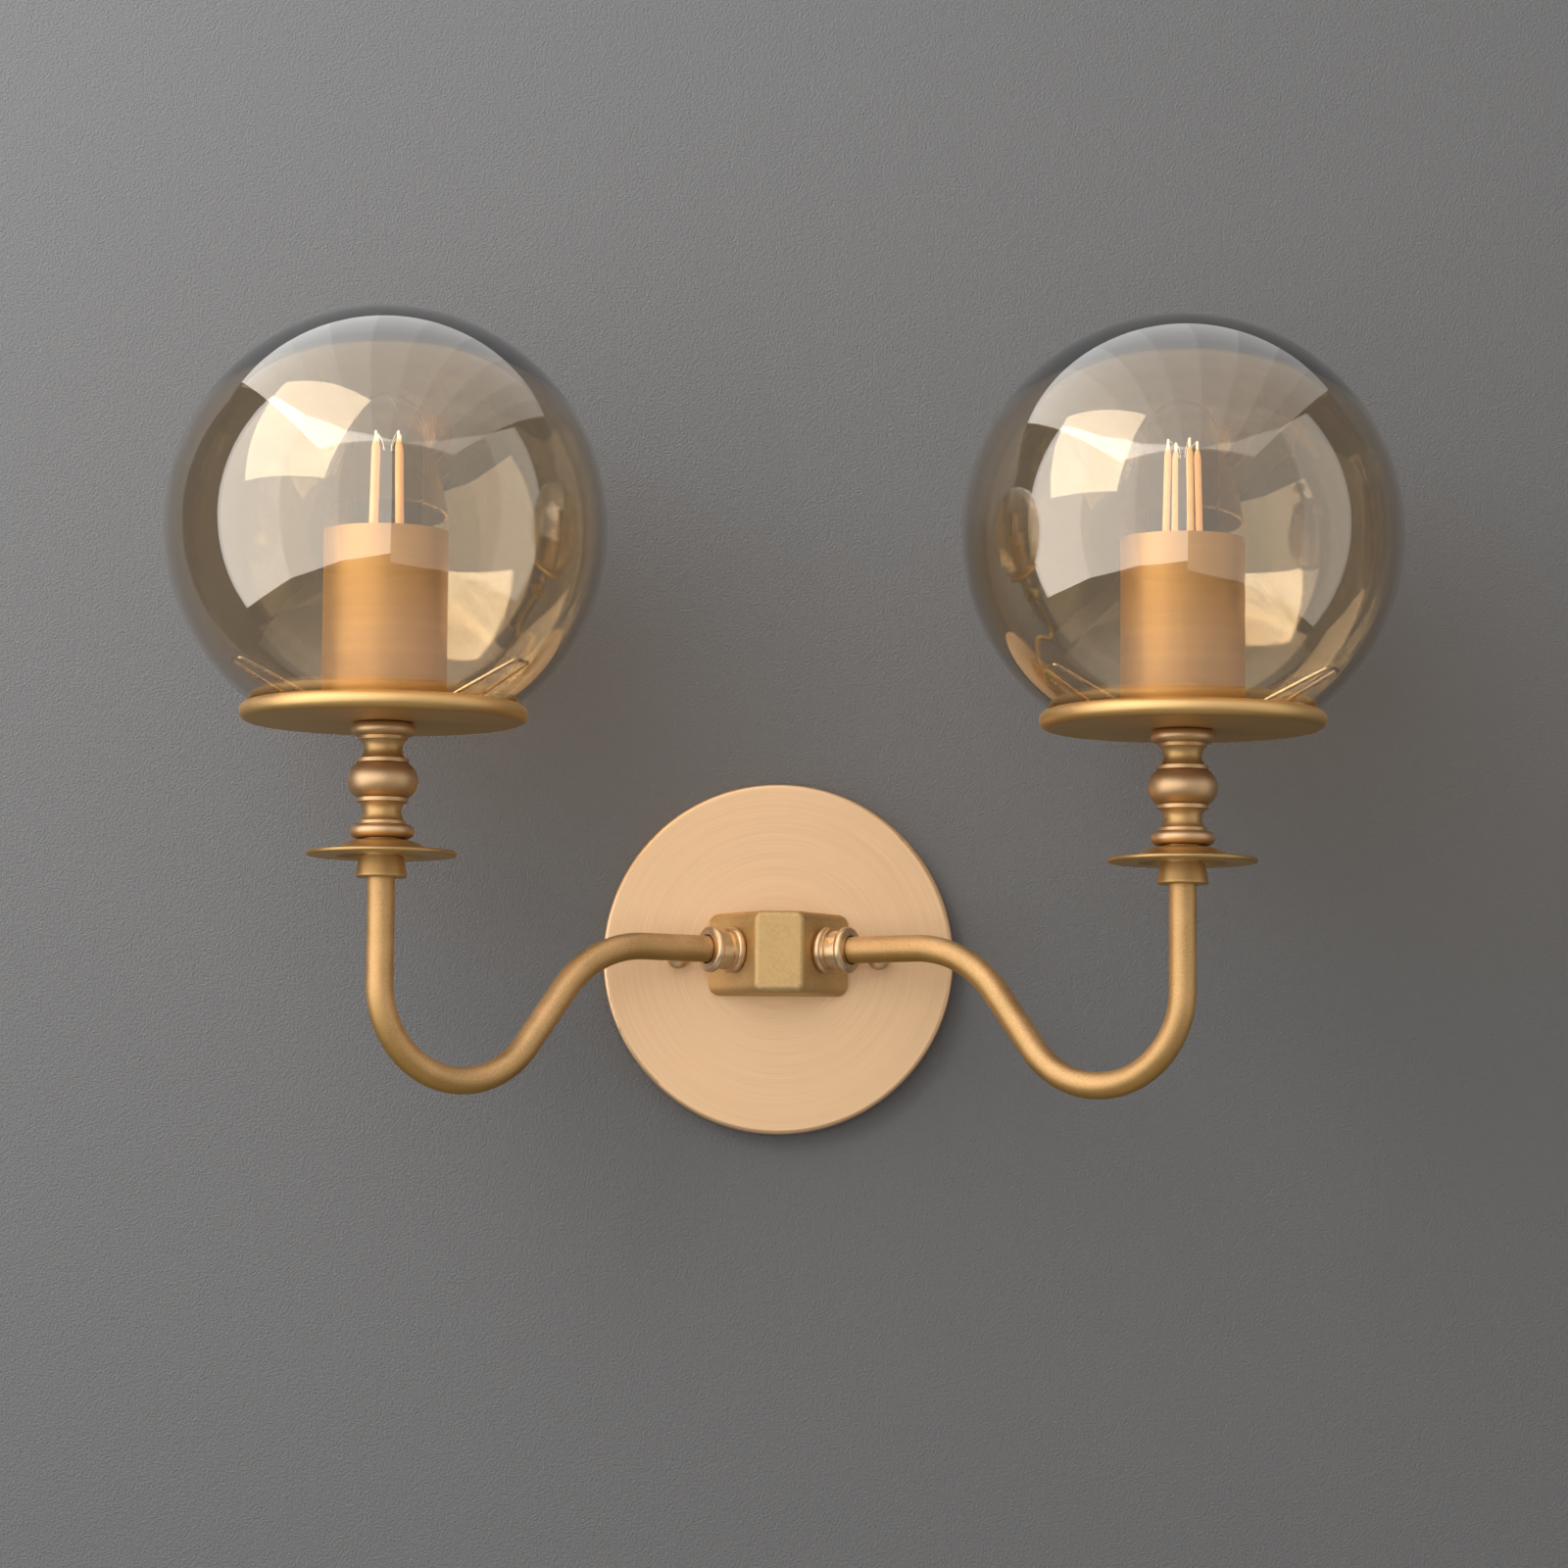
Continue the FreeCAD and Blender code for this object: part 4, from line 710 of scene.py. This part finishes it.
# stage, light and camera: places in metres, the camera's in millimetres, focal and frame in pixels
stage = {
    "wall": (-0.40, 0.40, -0.34, 0.36), "behind": 0.0006, "wallTone": (0.115, 0.115, 0.117),
    "roller": 1300, "rollerDepth": 0.0010,
    "floor": (-2.0, 2.0, -2.6, 0.4), "floorHeight": -1.5, "floorTone": (0.60, 0.585, 0.565), "clouds": 3,
}


def paintedWall():
    # matt paint with a faint roller texture; its back is open, so that the part's own back can be seen
    finish = Finish("paintedWall")
    roller = finish.noise(finish.place(), stage["roller"], 2, 0.6)
    paint = finish.principled({
        "Base Color": colour(stage["wallTone"]),
        "Roughness": 0.7,
        "Normal": finish.bump(roller, stage["rollerDepth"], 0.6),
    })
    behind = finish.add("ShaderNodeNewGeometry", output="Backfacing")
    clear = finish.add("ShaderNodeBsdfTransparent")
    return finish.end(finish.add("ShaderNodeMixShader", inputs={0: behind, 1: paint, 2: clear}))


def paleFloor():
    finish = Finish("paleFloor")
    cloud = finish.noise(finish.place(), stage["clouds"], 2)
    base = finish.blend(cloud, shade(stage["floorTone"], 0.97), stage["floorTone"])
    return finish.end(finish.principled({"Base Color": base, "Roughness": 0.6}))


def panel(name, corners, material):
    mesh = bpy.data.meshes.new(name)
    mesh.from_pydata(corners, [], [list(range(len(corners)))])
    mesh.materials.append(material)
    flat = bpy.data.objects.new(name, mesh)
    bpy.context.collection.objects.link(flat)
    return flat


left, right, bottom, top = stage["wall"]
back = stage["behind"]
corners = [(left, back, bottom), (right, back, bottom), (right, back, top), (left, back, top)]
wall = panel("wall", corners, paintedWall())
left, right, near, far = stage["floor"]
low = stage["floorHeight"]
corners = [(left, near, low), (right, near, low), (right, far, low), (left, far, low)]
floor = panel("floor", corners, paleFloor())

# folding screens of pale cloth to both sides of the camera, each leaf with its own glow
screens = {
    "left": {"foot": [(0.05, -1.75), (-0.62, -1.45), (-1.05, -0.85), (-1.20, -0.12)], "height": (-0.50, 1.35),
             "glow": [1.5, 1.75, 2.2], "tone": (1.0, 0.98, 0.96)},
    "right": {"foot": [(1.25, -0.15), (1.15, -0.75), (0.75, -1.35), (0.05, -1.75)], "height": (-0.65, 1.25),
              "glow": [0.75, 0.52, 0.50], "tone": (1.0, 0.97, 0.92)},
}
# the ceiling fades from left to right in narrow leaves
ceiling = {
    "height": 1.36, "near": -1.80, "far": 1.00, "left": -1.30, "leaf": 0.26,
    "glow": [1.8, 1.7, 1.6, 1.4, 1.2, 1.05, 0.9, 0.75, 0.6, 0.5], "tone": (1.0, 0.98, 0.95),
}
wash = {
    "place": (-0.72, -0.55, 0.78), "aim": (-0.1, 0, 0.1), "size": (0.85, 0.85),
    "glow": 6.2, "tone": (1.0, 1.0, 1.0),
}
studio = {"tone": (0.86, 0.86, 0.87), "glow": 0.15}


def softbox(name, place, aim, wide, tall, look):
    lamp = bpy.data.lights.new(name, "AREA")
    lamp.shape = "RECTANGLE"
    lamp.size, lamp.size_y = wide, tall
    lamp.energy = look["glow"] * math.pi * wide * tall
    lamp.color = look["tone"]
    holder = bpy.data.objects.new(name, lamp)
    holder.location = place
    holder.rotation_euler = aim.to_track_quat("-Z", "Y").to_euler()
    holder.visible_camera = False  # a softbox never stands between a camera and the part
    bpy.context.collection.objects.link(holder)
    return holder


def standingScreen(name, look):
    # one flat light for each leaf, turned towards the part
    low, high = look["height"]
    for first, last, glow in zip(look["foot"], look["foot"][1:], look["glow"]):
        run = Vector(last) - Vector(first)
        centre = (Vector(first) + Vector(last)) / 2
        aim = Vector((run.y, -run.x, 0))
        if aim.xy.dot(centre) > 0:
            aim = -aim
        leaf = {"glow": glow, "tone": look["tone"]}
        softbox(name, (*centre, (low + high) / 2), aim, run.length, high - low, leaf)


for name, look in screens.items():
    standingScreen(name, look)
for number, glow in enumerate(ceiling["glow"]):
    across = ceiling["left"] + (number + 0.5) * ceiling["leaf"]
    place = (across, (ceiling["near"] + ceiling["far"]) / 2, ceiling["height"])
    leaf = {"glow": glow, "tone": ceiling["tone"]}
    softbox("ceiling", place, Vector((0, 0, -1)), ceiling["leaf"], ceiling["far"] - ceiling["near"], leaf)
aim = Vector(wash["aim"]) - Vector(wash["place"])
washLamp = softbox("wash", wash["place"], aim, *wash["size"], wash)
washLamp.visible_glossy = False  # it only shades the wall from the upper left

world = bpy.data.worlds.new("studio")
bpy.context.scene.world = world
world.use_nodes = True
background = world.node_tree.nodes["Background"]
background.inputs["Color"].default_value = colour(studio["tone"])
background.inputs["Strength"].default_value = studio["glow"]

view = {
    "place": (-21.7, -1696.4, -90.0), "yaw": 0.0138, "pitch": 0.0906, "roll": 0.0075,
    "focal": 4767.0, "frame": 1600.0, "sensor": 36.0, "reach": 50,
}


def camera():
    lens = bpy.data.cameras.new("camera")
    lens.sensor_width = view["sensor"]
    lens.lens = view["focal"] / view["frame"] * view["sensor"]
    lens.clip_end = view["reach"]
    holder = bpy.data.objects.new("camera", lens)
    yaw, pitch, roll = view["yaw"], view["pitch"], view["roll"]
    ahead = Vector((math.sin(yaw) * math.cos(pitch), math.cos(yaw) * math.cos(pitch), math.sin(pitch)))
    level = Vector((math.cos(yaw), -math.sin(yaw), 0))
    right = level * math.cos(roll) + level.cross(ahead) * math.sin(roll)
    turn = Matrix((right, right.cross(ahead), -ahead)).transposed()
    holder.matrix_world = Matrix.Translation(Vector(view["place"]) * millimetre) @ turn.to_4x4()
    bpy.context.collection.objects.link(holder)
    bpy.context.scene.camera = holder


camera()
bpy.context.scene.view_settings.view_transform = "Standard"
print("stage, light and camera set")
